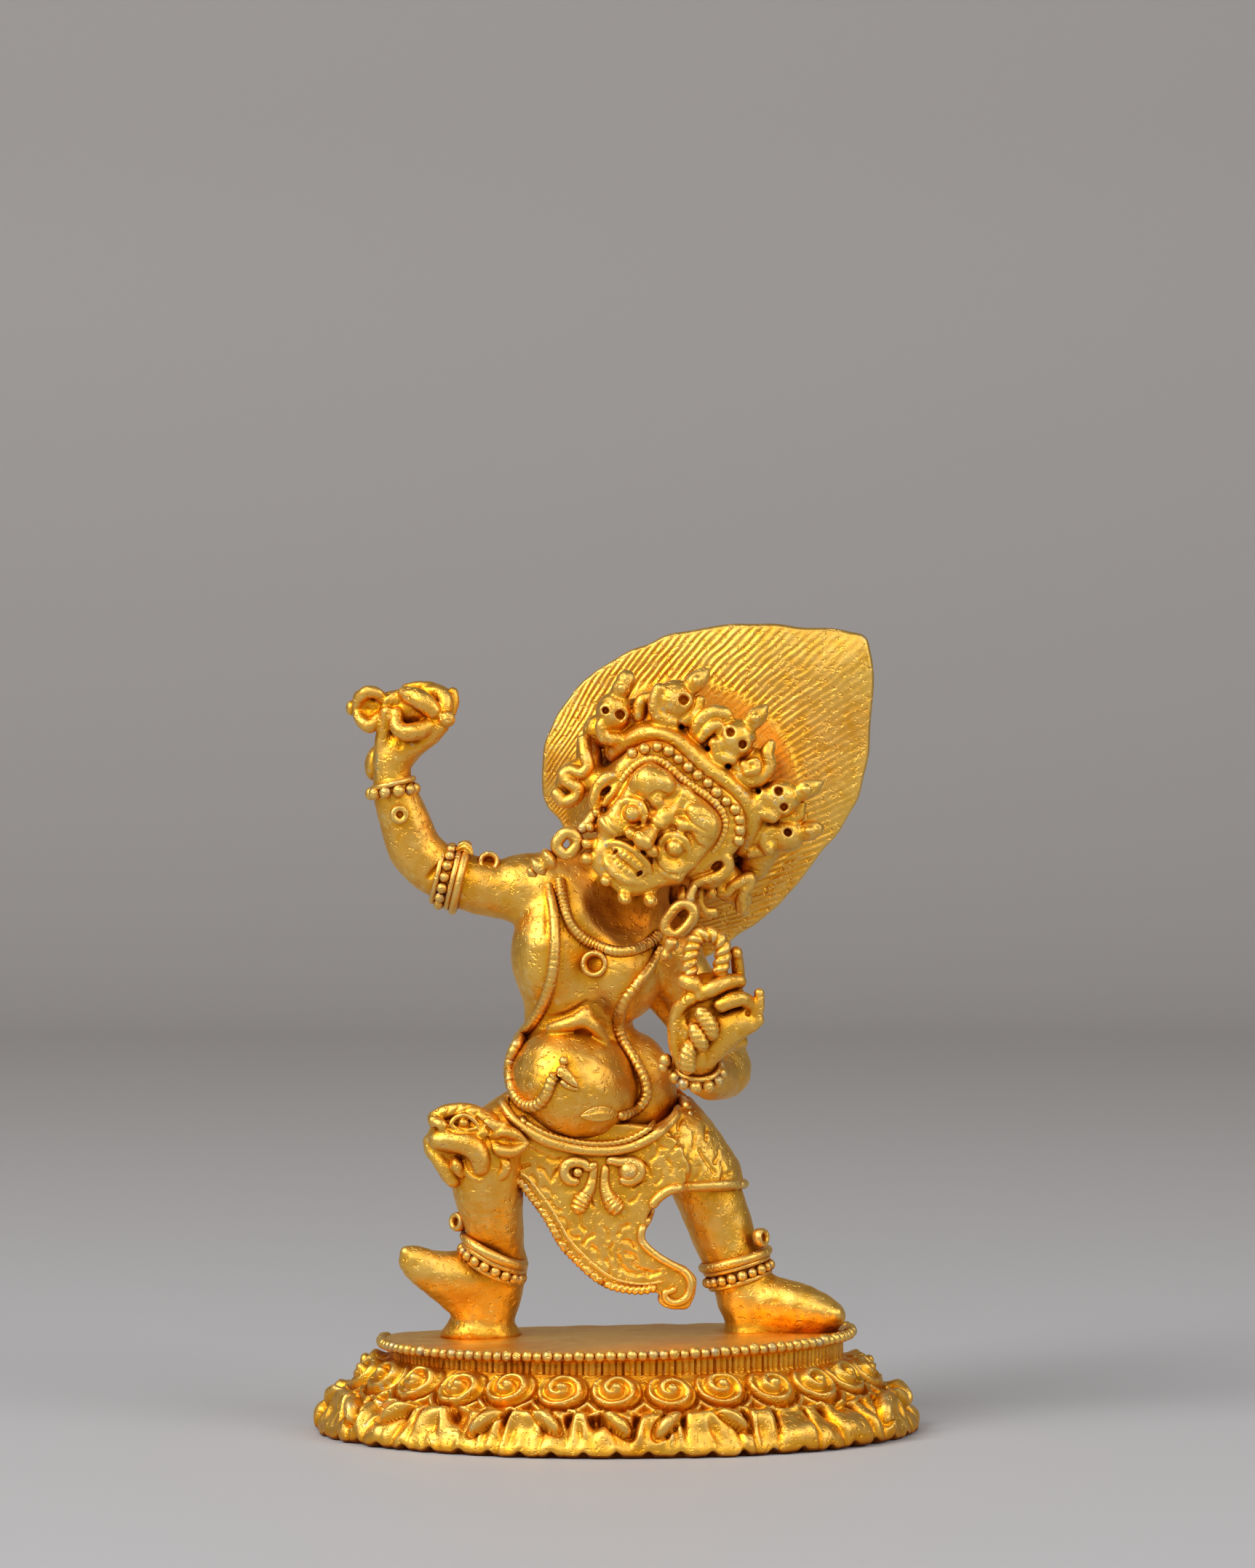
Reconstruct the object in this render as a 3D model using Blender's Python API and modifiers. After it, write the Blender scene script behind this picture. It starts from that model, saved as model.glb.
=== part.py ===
"""A cast miniature of a wrathful standing deity on a lotus base, at its real size.

The object is one casting. A D-shaped lotus base carries the figure, which is drawn in millimetres on
a figure DRAWN_HEIGHT tall and scaled to FIGURE_HEIGHT. Heights of the figure are above the plate of
the base, depths are from the line between the two feet, and the front faces -Y.
"""

import math

import bmesh
import bpy
import numpy as np
from mathutils import Matrix, Vector

# Driving sizes, in metres
BASE_WIDTH = 0.0432
BASE_FRONT = 0.0160
BASE_BACK = 0.0065
BASE_HEIGHT = 0.0070
PLATE_WIDTH = 0.0338
PLATE_FRONT = 0.0125
PLATE_BACK = 0.0050
FIGURE_HEIGHT = 0.0512
HALO_THICKNESS = 0.0014
CLOTH_THICKNESS = 0.0014
BEAD_DIAMETER = 0.00085

# Carving of the base
SCROLL_COUNT = 24
POINTS_PER_SCROLL = 7
POINTS_PER_BEAD = 2
PETAL_RELIEF = 0.00045
SCROLL_RELIEF = 0.00050

# The figure's own drawing, and the grid that fuses it
DRAWN_HEIGHT = 51.2
FUSE_GRID = 0.00040
FIGURE_TRIANGLES = 5600
TUBE_ROUNDNESS = 3

# The head's own frame: it leans to the right of the view, and its point is between the eyes
HEAD_LEAN = math.radians(40)
BETWEEN_EYES = (2.66, 36.54)

FEET_Y = (BASE_FRONT - BASE_BACK) / 2
SCALE = FIGURE_HEIGHT / DRAWN_HEIGHT


def at(x, y, z):
    """The place of a point drawn on the figure, in metres."""
    return Vector((x * SCALE, y * SCALE + FEET_Y, z * SCALE + BASE_HEIGHT))


def on_head(across, y, up):
    """A point drawn in the head's own leaning frame, as a point of the figure."""
    x0, z0 = BETWEEN_EYES
    x = x0 + across * math.cos(HEAD_LEAN) + up * math.sin(HEAD_LEAN)
    z = z0 - across * math.sin(HEAD_LEAN) + up * math.cos(HEAD_LEAN)
    return (x, y, z)


def clear_scene():
    for obj in list(bpy.data.objects):
        bpy.data.objects.remove(obj)


def new_collection(name):
    collection = bpy.data.collections.new(name)
    bpy.context.scene.collection.children.link(collection)
    return collection


def gilt_brass():
    """Gilt brass: warm yellow metal with a satin cast surface."""
    material = bpy.data.materials.new("gilt_brass")
    material.use_nodes = True
    shader = material.node_tree.nodes["Principled BSDF"]
    shader.inputs["Base Color"].default_value = (0.84, 0.56, 0.20, 1.0)
    shader.inputs["Metallic"].default_value = 1.0
    shader.inputs["Roughness"].default_value = 0.34
    return material


def mesh_of(obj):
    """The evaluated mesh of an object with its loose caps welded. The object is removed."""
    graph = bpy.context.evaluated_depsgraph_get()
    mesh = bpy.data.meshes.new_from_object(obj.evaluated_get(graph), depsgraph=graph)
    bpy.data.objects.remove(obj)
    shape = bmesh.new()
    shape.from_mesh(mesh)
    bmesh.ops.remove_doubles(shape, verts=shape.verts, dist=1e-7)
    bmesh.ops.recalc_face_normals(shape, faces=shape.faces)
    shape.to_mesh(mesh)
    shape.free()
    return mesh


def merged(meshes, name):
    """One mesh that holds all the meshes."""
    shape = bmesh.new()
    for mesh in meshes:
        shape.from_mesh(mesh)
        bpy.data.meshes.remove(mesh)
    whole = bpy.data.meshes.new(name)
    shape.to_mesh(whole)
    shape.free()
    return whole


def tube(stations):
    """A round limb with round ends, through stations (x, y, z, radius) drawn on the figure."""
    curve = bpy.data.curves.new("tube", "CURVE")
    curve.dimensions = "3D"
    curve.bevel_depth = SCALE
    curve.bevel_resolution = TUBE_ROUNDNESS
    curve.resolution_u = 5
    curve.use_fill_caps = True
    spline = curve.splines.new("BEZIER")
    spline.bezier_points.add(len(stations) - 1)
    for point, (x, y, z, radius) in zip(spline.bezier_points, stations):
        point.co = at(x, y, z)
        point.radius = radius
        point.handle_left_type = "AUTO"
        point.handle_right_type = "AUTO"
    obj = bpy.data.objects.new("tube", curve)
    bpy.context.scene.collection.objects.link(obj)
    ends = [ball((x, y, z), (radius,) * 3) for x, y, z, radius in (stations[0], stations[-1])]
    return merged([mesh_of(obj)] + ends, "limb")


def ball(centre, radii, lean=0.0):
    """An egg with the given radii across, deep and high, leaning to the right of the view."""
    shape = bmesh.new()
    bmesh.ops.create_uvsphere(shape, u_segments=20, v_segments=12, radius=1.0)
    size = Matrix.Diagonal(Vector((*radii, 1.0)) * SCALE)
    size[3][3] = 1.0
    place = Matrix.Translation(at(*centre)) @ Matrix.Rotation(lean, 4, "Y")
    bmesh.ops.transform(shape, matrix=place @ size, verts=shape.verts)
    mesh = bpy.data.meshes.new("ball")
    shape.to_mesh(mesh)
    shape.free()
    return mesh


def slab(outline, y, thickness):
    """A flat upright piece: a smooth closed outline of (x, z) points, thick to both sides of depth y."""
    curve = bpy.data.curves.new("slab", "CURVE")
    curve.dimensions = "2D"
    curve.fill_mode = "BOTH"
    curve.extrude = thickness / 2
    curve.resolution_u = 6
    spline = curve.splines.new("BEZIER")
    spline.bezier_points.add(len(outline) - 1)
    spline.use_cyclic_u = True
    for point, (x, z) in zip(spline.bezier_points, outline):
        point.co = (x * SCALE, z * SCALE, 0.0)
        point.handle_left_type = "AUTO"
        point.handle_right_type = "AUTO"
    obj = bpy.data.objects.new("slab", curve)
    obj.matrix_world = Matrix.Translation(at(0, y, 0)) @ Matrix.Rotation(math.pi / 2, 4, "X")
    bpy.context.scene.collection.objects.link(obj)
    bpy.context.view_layer.update()
    placed = obj.matrix_world.copy()
    mesh = mesh_of(obj)
    mesh.transform(placed)
    return mesh


def ring_of(count, half_width, front, back):
    """Points of the D-shaped plan, evenly spaced from the middle of the front: an ellipse in front,
    squarer behind."""
    turn = np.linspace(-0.5 * math.pi, 1.5 * math.pi, 1440, endpoint=False)
    cosine, sine = np.cos(turn), np.sin(turn)
    ahead = sine < 0
    power = np.where(ahead, 1.0, 0.55)
    x = half_width * np.sign(cosine) * np.abs(cosine) ** power
    y = np.where(ahead, front, back) * np.sign(sine) * np.abs(sine) ** power
    closed_x, closed_y = np.append(x, x[0]), np.append(y, y[0])
    run = np.append(0.0, np.cumsum(np.hypot(np.diff(closed_x), np.diff(closed_y))))
    stops = np.linspace(0.0, run[-1], count, endpoint=False)
    return np.interp(stops, run, closed_x), np.interp(stops, run, closed_y)


def lotus_base():
    """The base: a skirt of drooping petals below a row of scrolls, a plain neck and a beaded plate."""
    count = SCROLL_COUNT * POINTS_PER_SCROLL
    phase = np.arange(count) * 2 * math.pi / POINTS_PER_SCROLL
    bead = np.where(np.arange(count) % POINTS_PER_BEAD == 0, 1.0, 0.0) * BEAD_DIAMETER / 3
    petal = np.abs(np.cos(phase / 2)) * PETAL_RELIEF
    scroll = np.cos(phase / 2) ** 2 * SCROLL_RELIEF
    lobe = np.abs(np.sin(phase / 2)) * PETAL_RELIEF
    none = np.zeros(count)
    levels = [
        (0.00, 0.94, none),
        (0.10, 0.98, lobe),
        (0.22, 0.92, lobe),
        (0.36, 0.70, petal),
        (0.48, 0.46, petal),
        (0.56, 0.34, scroll),
        (0.66, 0.24, scroll),
        (0.72, 0.06, none),
        (0.78, -0.10, none),
        (0.86, -0.08, none),
        (0.90, 0.02, bead),
        (0.97, 0.02, bead),
        (1.00, -0.06, none),
    ]
    shape = bmesh.new()
    rings = []
    for height, out, relief in levels:
        half_width = (PLATE_WIDTH + (BASE_WIDTH - PLATE_WIDTH) * out) / 2
        front = PLATE_FRONT + (BASE_FRONT - PLATE_FRONT) * out
        back = PLATE_BACK + (BASE_BACK - PLATE_BACK) * out
        x, y = ring_of(count, half_width, front, back)
        away = np.stack([x / half_width, y / np.where(y < 0, front, back)])
        x, y = np.stack([x, y]) + away / np.linalg.norm(away, axis=0) * relief
        x = np.clip(x, -BASE_WIDTH / 2, BASE_WIDTH / 2)
        y = np.clip(y, -BASE_FRONT, BASE_BACK) + FEET_Y
        z = height * BASE_HEIGHT
        rings.append([shape.verts.new((px, py, z)) for px, py in zip(x, y)])
    for low, high in zip(rings, rings[1:]):
        for i in range(count):
            j = (i + 1) % count
            shape.faces.new((low[i], low[j], high[j], high[i]))
    shape.faces.new(rings[0][::-1])
    shape.faces.new(rings[-1])
    bmesh.ops.triangulate(shape, faces=shape.faces)
    mesh = bpy.data.meshes.new("vajrapani_statue")
    shape.to_mesh(mesh)
    shape.free()
    return mesh


def torso():
    """Chest, waist and the round belly, leaning over the bent leg."""
    return [
        ball((-1.4, 0.2, 13.4), (5.6, 4.0, 3.6)),
        ball((-2.6, -2.0, 18.7), (4.7, 4.5, 4.9)),
        tube([(-1.8, 0.4, 14, 4.6), (-2.8, 0.4, 21.5, 4.1), (-2.8, 0.4, 25, 4.3), (-1.6, 0.2, 30, 3.4)]),
        ball((-2.5, -0.4, 28.3), (5.2, 4.0, 4.2), math.radians(20)),
        ball((-1.0, -1.2, 27.2), (4.3, 3.9, 3.6), math.radians(35)),
        tube([(-6.2, 0.4, 32.0, 2.3), (-1.5, 0.6, 31.0, 2.9), (3.4, 0.6, 27.4, 2.5)]),
    ]


def head():
    """The leaning head: wide face with bulging eyes, brows, cheeks and beard, and two earrings."""
    pieces = [
        ball(on_head(0.0, -3.2, 0.3), (3.5, 4.2, 4.7), HEAD_LEAN),
        ball(on_head(0.0, -2.6, 1.9), (4.9, 4.0, 3.5), HEAD_LEAN),
        ball(on_head(0.0, -6.9, -1.3), (1.2, 1.4, 0.9), HEAD_LEAN),
        ball(on_head(0.2, -6.0, -3.3), (2.4, 1.5, 1.3), HEAD_LEAN),
        tube([(*on_head(-0.5, -1.0, -3.0), 3.2), (0.0, 0.2, 31.0, 3.4)]),
        tube([(*on_head(-4.7, -3.0, 0.9), 0.8), (*on_head(-4.9, -3.4, -0.8), 0.7),
              (*on_head(-4.6, -3.4, -2.4), 0.8)]),
        tube([(*on_head(4.9, -3.0, 1.2), 0.8), (*on_head(5.0, -3.4, -0.6), 0.7),
              (*on_head(5.0, -3.8, -5.6), 1.1)]),
    ]
    for side in (-1, 1):
        pieces.append(ball(on_head(1.94 * side, -6.5, 0.0), (0.9, 1.0, 0.8), HEAD_LEAN))
        pieces.append(ball(on_head(1.95 * side, -5.9, 2.5), (1.5, 1.4, 1.4), HEAD_LEAN))
        pieces.append(ball(on_head(2.4 * side, -5.3, -1.7), (1.3, 1.5, 1.4), HEAD_LEAN))
        pieces.append(ball(on_head(1.9 * side, -5.2, -4.2), (0.9, 0.9, 0.8), HEAD_LEAN))
    return pieces


def crown():
    """A beaded band across the brow with five skulls, each under a jewelled tip."""
    band = [(-5.7, -2.6, 4.2), (-4.0, -4.6, 5.7), (0.0, -5.4, 6.2), (4.2, -4.6, 5.7), (6.0, -2.6, 3.6)]
    skulls = [(-7.6, -2.6, 4.6, -8.9, 6.3), (-4.9, -4.2, 8.1, -5.0, 10.7), (0.0, -4.8, 9.0, 0.0, 11.4),
              (5.4, -4.2, 8.0, 6.3, 10.2), (7.3, -2.4, 6.2, 8.8, 8.2)]
    pieces = [tube([(*on_head(*point), 0.8) for point in band])]
    for across, y, up, tip_across, tip_up in skulls:
        foot = on_head(across * 0.75, y + 1.4, up * 0.72)
        skull = on_head(across, y, up)
        tip = on_head(tip_across, y - 0.1, tip_up)
        pieces.append(tube([(*foot, 1.3), (*skull, 1.35), (*tip, 0.45)]))
    pieces.append(ball(on_head(0.0, -1.2, 5.6), (5.4, 3.4, 3.2), HEAD_LEAN))
    return pieces


def halo():
    """The flaming hair behind the head: a pointed upright plate, thick where it leaves the head."""
    outline = [(-3.7, 36.4), (-5.3, 39.0), (-5.0, 42.9), (-2.5, 46.9), (2.2, 49.7), (8.3, 51.0),
               (13.7, 51.1), (18.0, 50.3), (18.5, 46.4), (17.8, 39.7), (14.9, 34.8), (10.8, 30.2),
               (8.4, 28.6), (5.0, 26.4), (0.0, 28.0), (-3.0, 32.0)]
    return [
        slab(outline, 3.6, HALO_THICKNESS),
        ball((5.6, 2.6, 39.6), (7.6, 2.4, 7.2), math.radians(40)),
        ball((3.4, 2.0, 34.4), (5.0, 2.6, 5.0)),
    ]


def raised_arm():
    """The arm that lifts the vajra, with its hand open upward and the vajra across it."""
    wrist = (-16.1, -0.8, 39.5)
    pieces = [
        tube([(-5.6, 0.4, 32.0, 2.2), (-9.6, 0.2, 32.3, 2.0), (-14.0, 0.0, 33.6, 1.9),
              (-15.3, -0.4, 36.2, 1.75), (*wrist, 1.5)]),
        ball((-13.7, 0.0, 33.6), (1.9, 1.9, 1.8)),
        tube([(*wrist, 1.45), (-16.2, -0.9, 41.4, 1.7), (-14.6, -1.1, 43.0, 1.4)]),
        tube([(-17.4, -0.8, 41.3, 0.8), (-17.1, -1.1, 43.4, 0.7), (-16.6, -1.6, 45.4, 0.65)]),
        tube([(-14.2, -1.2, 42.2, 0.9), (-12.8, -1.6, 43.2, 0.75), (-12.0, -2.4, 44.4, 0.65)]),
        tube([(-15.4, -1.3, 42.6, 0.8), (-14.4, -1.8, 44.2, 0.7), (-13.6, -2.2, 45.2, 0.6)]),
        tube([(-18.3, -1.0, 45.3, 0.9), (-15.4, -1.0, 45.2, 0.7), (-12.2, -1.0, 45.7, 0.9)]),
    ]
    for x, z in ((-18.5, 45.2), (-12.4, 45.7)):
        pieces.append(ball((x, -1.0, z), (1.1, 1.3, 1.4)))
    armband = [(-9.0, 32.4, 2.25), (-10.9, 32.5, 2.15)]
    for x, z, radius in armband:
        pieces.append(ball((x, 0.2, z), (0.5, radius, radius), math.radians(-12)))
    return pieces


def lowered_arm():
    """The arm that comes forward before the chest, with its hand up and a noose of rope in it."""
    pieces = [
        tube([(3.4, 0.6, 27.2, 2.4), (6.4, 0.9, 23.4, 2.1), (8.2, 0.2, 19.2, 1.9), (7.4, -2.8, 18.0, 1.8),
              (5.9, -5.6, 19.6, 1.6), (5.9, -7.0, 22.4, 1.7)]),
        ball((6.2, -7.1, 22.6), (2.0, 1.2, 2.4), math.radians(12)),
        tube([(5.3, -7.6, 24.4, 0.9), (7.2, -7.6, 25.4, 0.8), (8.7, -6.9, 25.7, 0.65)]),
        tube([(6.0, -7.4, 23.4, 0.9), (8.0, -7.4, 24.3, 0.8), (9.3, -6.8, 24.8, 0.65)]),
        tube([(7.6, -6.6, 20.6, 1.0), (9.2, -6.6, 23.0, 0.8), (10.2, -6.6, 25.2, 0.55)]),
        tube([(8.6, -6.8, 25.2, 0.7), (8.7, -7.2, 27.6, 0.6)]),
    ]
    loop_x, loop_z, loop_radius = 6.4, 27.9, 1.55
    steps = [math.radians(a) for a in range(-60, 241, 50)]
    noose = [(loop_x + loop_radius * math.cos(a), -7.8, loop_z + loop_radius * 1.05 * math.sin(a), 0.5)
             for a in steps]
    rope = [(5.3, -7.9, 26.4, 0.5), (6.5, -8.3, 24.0, 0.5), (6.2, -8.2, 22.4, 0.5), (5.2, -7.8, 20.4, 0.5)]
    return pieces + [tube(noose), tube(rope)]


def legs():
    """The bent leg with its foot lifted on the heel, and the straight leg with its foot turned out."""
    return [
        tube([(-2.4, 0.0, 14.0, 3.9), (-6.6, -2.0, 14.4, 3.4), (-10.2, -3.8, 14.2, 2.8)]),
        tube([(-9.4, -3.4, 13.2, 2.6), (-9.2, -3.2, 10.8, 2.5), (-8.7, -2.0, 7.4, 1.95),
              (-8.6, -0.8, 4.8, 1.9), (-8.9, -0.2, 2.6, 1.8)]),
        tube([(-8.8, -0.2, 2.7, 1.9), (-11.0, -1.4, 3.6, 1.7), (-13.8, -2.6, 4.9, 1.2)]),
        tube([(-9.0, 0.0, 2.4, 1.7), (-9.4, 0.0, 0.6, 1.7), (-9.7, 0.0, -0.5, 2.1)]),
        tube([(1.6, 0.2, 14.6, 4.1), (4.6, 0.0, 12.6, 3.9), (6.6, 0.0, 9.8, 2.5), (7.8, 0.0, 6.8, 2.25),
              (8.9, 0.0, 4.4, 2.1), (9.4, 0.0, 1.8, 2.0)]),
        tube([(9.0, 0.2, 1.5, 1.9), (12.0, -0.8, 1.4, 1.5), (15.4, -1.9, 0.9, 1.1)]),
        tube([(9.3, 0.0, 1.2, 2.0), (11.5, -0.6, 0.0, 1.6), (14.6, -1.5, 0.2, 1.2)]),
    ]


def skirt():
    """The tiger skin about the hips, its head on the bent knee, and the long end hanging between."""
    hanging = [(-7.4, 14.5), (-7.8, 11.5), (-6.3, 10.6), (-5.0, 8.9), (-3.8, 6.8), (-1.7, 4.8),
               (0.4, 3.6), (2.9, 3.2), (3.6, 2.2), (5.0, 2.1), (5.7, 3.2), (5.2, 4.7), (3.0, 5.8),
               (1.8, 7.1), (2.0, 8.2), (2.8, 9.7), (4.4, 11.0), (3.4, 14.5), (-2.0, 15.4)]
    return [
        slab(hanging, -3.6, CLOTH_THICKNESS),
        ball((-2.0, -1.4, 13.0), (6.2, 3.4, 3.2)),
        tube([(-7.8, -1.2, 17.1, 0.8), (-4.9, -5.0, 14.3, 0.8), (-2.1, -5.4, 13.7, 0.8),
              (0.8, -5.0, 13.9, 0.8), (4.6, -1.2, 16.6, 0.8)]),
        tube([(3.4, -3.6, 11.2, 0.7), (6.3, -3.0, 10.8, 0.7), (8.9, -0.8, 10.6, 0.7),
              (8.4, 2.2, 10.6, 0.7)]),
        ball((-10.4, -4.6, 14.7), (2.3, 2.2, 1.9)),
        ball((-12.4, -5.0, 14.8), (1.3, 1.4, 1.1)),
        ball((-11.6, -5.2, 13.2), (1.6, 1.2, 1.0)),
        tube([(-12.0, -4.6, 16.5, 0.5), (-9.8, -4.8, 16.5, 0.7), (-8.2, -4.4, 15.0, 0.8),
              (-6.6, -4.4, 13.4, 0.6)]),
        tube([(-9.8, -5.4, 13.9, 0.8), (-9.4, -5.6, 12.4, 0.9)]),
        tube([(-8.0, -4.6, 12.6, 0.8), (-9.0, -5.0, 11.2, 0.7)]),
        tube([(-3.0, -4.9, 12.0, 0.75), (-1.0, -5.3, 12.3, 0.6), (0.9, -4.9, 12.0, 0.75)]),
        tube([(-1.2, -4.9, 12.0, 0.6), (-2.6, -4.6, 9.2, 0.6)]),
        tube([(-0.8, -4.9, 12.0, 0.6), (0.1, -4.6, 9.6, 0.6)]),
    ]


def garland():
    """The snake that hangs from the shoulders down both flanks, its head and tail meeting below."""
    left = [(-4.8, -3.2, 32.4), (-4.4, -4.0, 28.6), (-5.0, -3.8, 24.6), (-7.0, -3.0, 21.4), (-7.6, -3.2, 18.4),
            (-6.6, -4.6, 16.9), (-5.2, -6.2, 17.4), (-4.3, -6.8, 19.3)]
    right = [(3.2, -3.0, 27.9), (1.6, -4.0, 25.4), (0.3, -4.4, 22.8), (1.3, -5.0, 20.0), (2.2, -5.2, 17.8),
             (1.2, -5.8, 16.3), (-1.1, -6.6, 16.2)]
    necklace = [(-4.3, -3.4, 33.0), (-3.6, -4.2, 30.0), (-2.1, -4.8, 28.4), (0.2, -4.9, 27.7), (2.6, -4.0, 28.4)]
    return [tube([(*point, 0.62) for point in line]) for line in (left, right, necklace)]


def fused_figure(collection):
    """The figure's overlapping forms run together into one skin, then thinned to its triangle budget."""
    meshes = torso() + head() + crown() + halo() + raised_arm() + lowered_arm()
    meshes += legs() + skirt() + garland()
    figure = bpy.data.objects.new("figure", merged(meshes, "figure"))
    figure.hide_render = True
    figure.display_type = "WIRE"
    collection.objects.link(figure)
    fuse = figure.modifiers.new("fuse", "REMESH")
    fuse.mode = "VOXEL"
    fuse.voxel_size = FUSE_GRID
    graph = bpy.context.evaluated_depsgraph_get()
    skin = figure.evaluated_get(graph).data
    triangles = sum(len(face.vertices) - 2 for face in skin.polygons)
    thin = figure.modifiers.new("thin", "DECIMATE")
    thin.ratio = FIGURE_TRIANGLES / triangles
    thin.use_collapse_triangulate = True
    return figure


def main():
    clear_scene()
    parts = new_collection("vajrapani_statue")
    helpers = new_collection("helpers")
    helpers.hide_render = True
    statue = bpy.data.objects.new("vajrapani_statue", lotus_base())
    statue.data.materials.append(gilt_brass())
    parts.objects.link(statue)
    union = statue.modifiers.new("figure", "BOOLEAN")
    union.operation = "UNION"
    union.solver = "EXACT"
    union.object = fused_figure(helpers)


main()
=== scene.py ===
"""The looks of a cast and gilded miniature: a wrathful deity striding on a lotus base.

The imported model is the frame. Every surface here is drawn in millimetres in the figure's own place:
x to the right of the view, y away from the viewer with 0 on the line between the feet, and z above
the plate of the base. The last step of each piece carries it to the frame.

Two kinds of surface are used. A grid is a formula of two parameters, for the base, the nimbus and
every cord. Clay is a block of space that holds the distance to a skin, for flesh and cloth that run
into each other without a seam: lumps and rods are joined to it, pits and furrows are taken out, and
each join is softened over a width in mm, the number after the form.
"""

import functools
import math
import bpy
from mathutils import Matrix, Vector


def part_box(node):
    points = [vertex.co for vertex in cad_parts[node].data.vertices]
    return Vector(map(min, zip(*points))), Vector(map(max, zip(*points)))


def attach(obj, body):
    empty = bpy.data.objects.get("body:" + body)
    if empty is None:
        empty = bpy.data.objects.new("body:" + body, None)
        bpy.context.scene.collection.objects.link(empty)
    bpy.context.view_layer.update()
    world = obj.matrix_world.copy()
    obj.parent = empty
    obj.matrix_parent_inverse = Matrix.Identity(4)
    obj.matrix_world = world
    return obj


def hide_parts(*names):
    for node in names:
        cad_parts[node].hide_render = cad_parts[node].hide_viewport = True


bl_info = {
    "name": "Gilded Deity on a Lotus Base",
    "version": (1, 0, 0),
    "blender": (4, 5, 0),
    "location": "View3D > Sidebar > Gilded Deity",
    "description": "Carves and gilds the surfaces of a small cast statue",
    "category": "Object",
}

import bpy
import numpy as np
from mathutils import Matrix

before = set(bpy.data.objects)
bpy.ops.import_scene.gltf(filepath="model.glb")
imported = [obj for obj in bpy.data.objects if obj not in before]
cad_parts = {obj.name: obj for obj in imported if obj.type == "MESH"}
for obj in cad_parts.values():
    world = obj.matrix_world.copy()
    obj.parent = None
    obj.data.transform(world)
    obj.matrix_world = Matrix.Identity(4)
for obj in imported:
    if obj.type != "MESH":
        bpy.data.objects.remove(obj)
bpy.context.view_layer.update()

NODE = "vajrapani_statue"
BODY = "root"
MM = 0.001

# The drawing: the plate above the floor, the nimbus above the plate, and the feet behind the middle
PLATE_TOP = 7.0
FIGURE_TOP = 51.2
FEET_LINE = 4.75
FIT = (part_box(NODE)[1][2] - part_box(NODE)[0][2]) / ((PLATE_TOP + FIGURE_TOP) * MM)

# The D-shaped plan of the base, and the levels of its profile above the floor
SKIRT_HALF, SKIRT_FRONT, SKIRT_BACK = 21.5, 15.95, 6.45
DRUM_HALF, DRUM_FRONT, DRUM_BACK = 16.4, 12.1, 4.7
RIM_HALF, RIM_FRONT, RIM_BACK = 16.95, 12.55, 5.05

# The head leans to the right of the view, about a point between the eyes
HEAD_LEAN = math.radians(40)
BETWEEN_EYES = (2.66, 36.54)

# Outside every skin the clay holds this distance, and every step of a clay's grid is multiplied by COARSE
FAR = 9.0
COARSE = 1.0

# The way from the statue to the viewer
TO_VIEWER = (0, -1, 0)


# Turning and placing

def turned(lean):
    """The matrix that leans a form clockwise in the view, by degrees."""
    c, s = math.cos(math.radians(lean)), math.sin(math.radians(lean))
    return np.array([[c, 0, s], [0, 1, 0], [-s, 0, c]])


def from_head(points):
    """Points drawn upright on the head (across, deep, up) as points of the figure."""
    points = np.asarray(points, float)
    across, up = points[..., 0], points[..., 2]
    x = BETWEEN_EYES[0] + across * math.cos(HEAD_LEAN) + up * math.sin(HEAD_LEAN)
    z = BETWEEN_EYES[1] - across * math.sin(HEAD_LEAN) + up * math.cos(HEAD_LEAN)
    return np.stack([x, points[..., 1], z], -1)


def to_frame(points):
    """Points of the figure as places in the frame, in metres."""
    return (np.asarray(points, float) + (0, FEET_LINE, PLATE_TOP)) * (FIT * MM)


def on_floor(shape):
    """A shape drawn with its heights above the floor, lowered to heights above the plate."""
    return (shape[0] - (0, 0, PLATE_TOP), *shape[1:])


def smooth_line(stations, steps=8, closed=False):
    """Points on a smooth curve through the stations: a cubic whose slope at each is half the way
    between its neighbours."""
    knots = np.asarray(stations, float)
    if closed:
        knots = np.concatenate([knots[-1:], knots, knots[:2]])
    else:
        knots = np.concatenate([2 * knots[:1] - knots[1:2], knots, 2 * knots[-1:] - knots[-2:-1]])
    before, start, end, after = (knots[i:len(knots) - 3 + i, None] for i in range(4))
    t = np.linspace(0, 1, steps, endpoint=False)[None, :, None]
    line = 0.5 * (2 * start + (end - before) * t + (2 * before - 5 * start + 4 * end - after) * t ** 2
                  + (3 * start - before - 3 * end + after) * t ** 3)
    line = line.reshape(-1, knots.shape[1])
    return line if closed else np.concatenate([line, knots[-2:-1]])


def run_along(line):
    """The distance along a line at each of its points."""
    return np.append(0.0, np.cumsum(np.linalg.norm(np.diff(line, axis=0), axis=1)))


def turns_of(count):
    """Angles evenly round a circle."""
    return np.arange(count) * 2 * math.pi / count


def noise(*coordinates, size=1.0, seed=0):
    """A soft unevenness from -1 to 1: sines that cross at odd angles, repeated every few sizes."""
    draw = np.random.default_rng(seed)
    total = 0.0
    for _ in range(6):
        ways = draw.normal(size=len(coordinates))
        ways *= draw.uniform(0.6, 1.6) * 2 * math.pi / (size * np.linalg.norm(ways))
        total = total + np.sin(sum(w * c for w, c in zip(ways, coordinates)) + draw.uniform(0, 6.28))
    return total / 3.2


# Clay: distances held on a grid

def joined(a, b, blend):
    """The nearer of two distances, with a soft join as wide as blend."""
    if blend <= 0:
        return np.minimum(a, b)
    near = np.maximum(blend - np.abs(a - b), 0.0) / blend
    return np.minimum(a, b) - near * near * (blend / 4)


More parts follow.
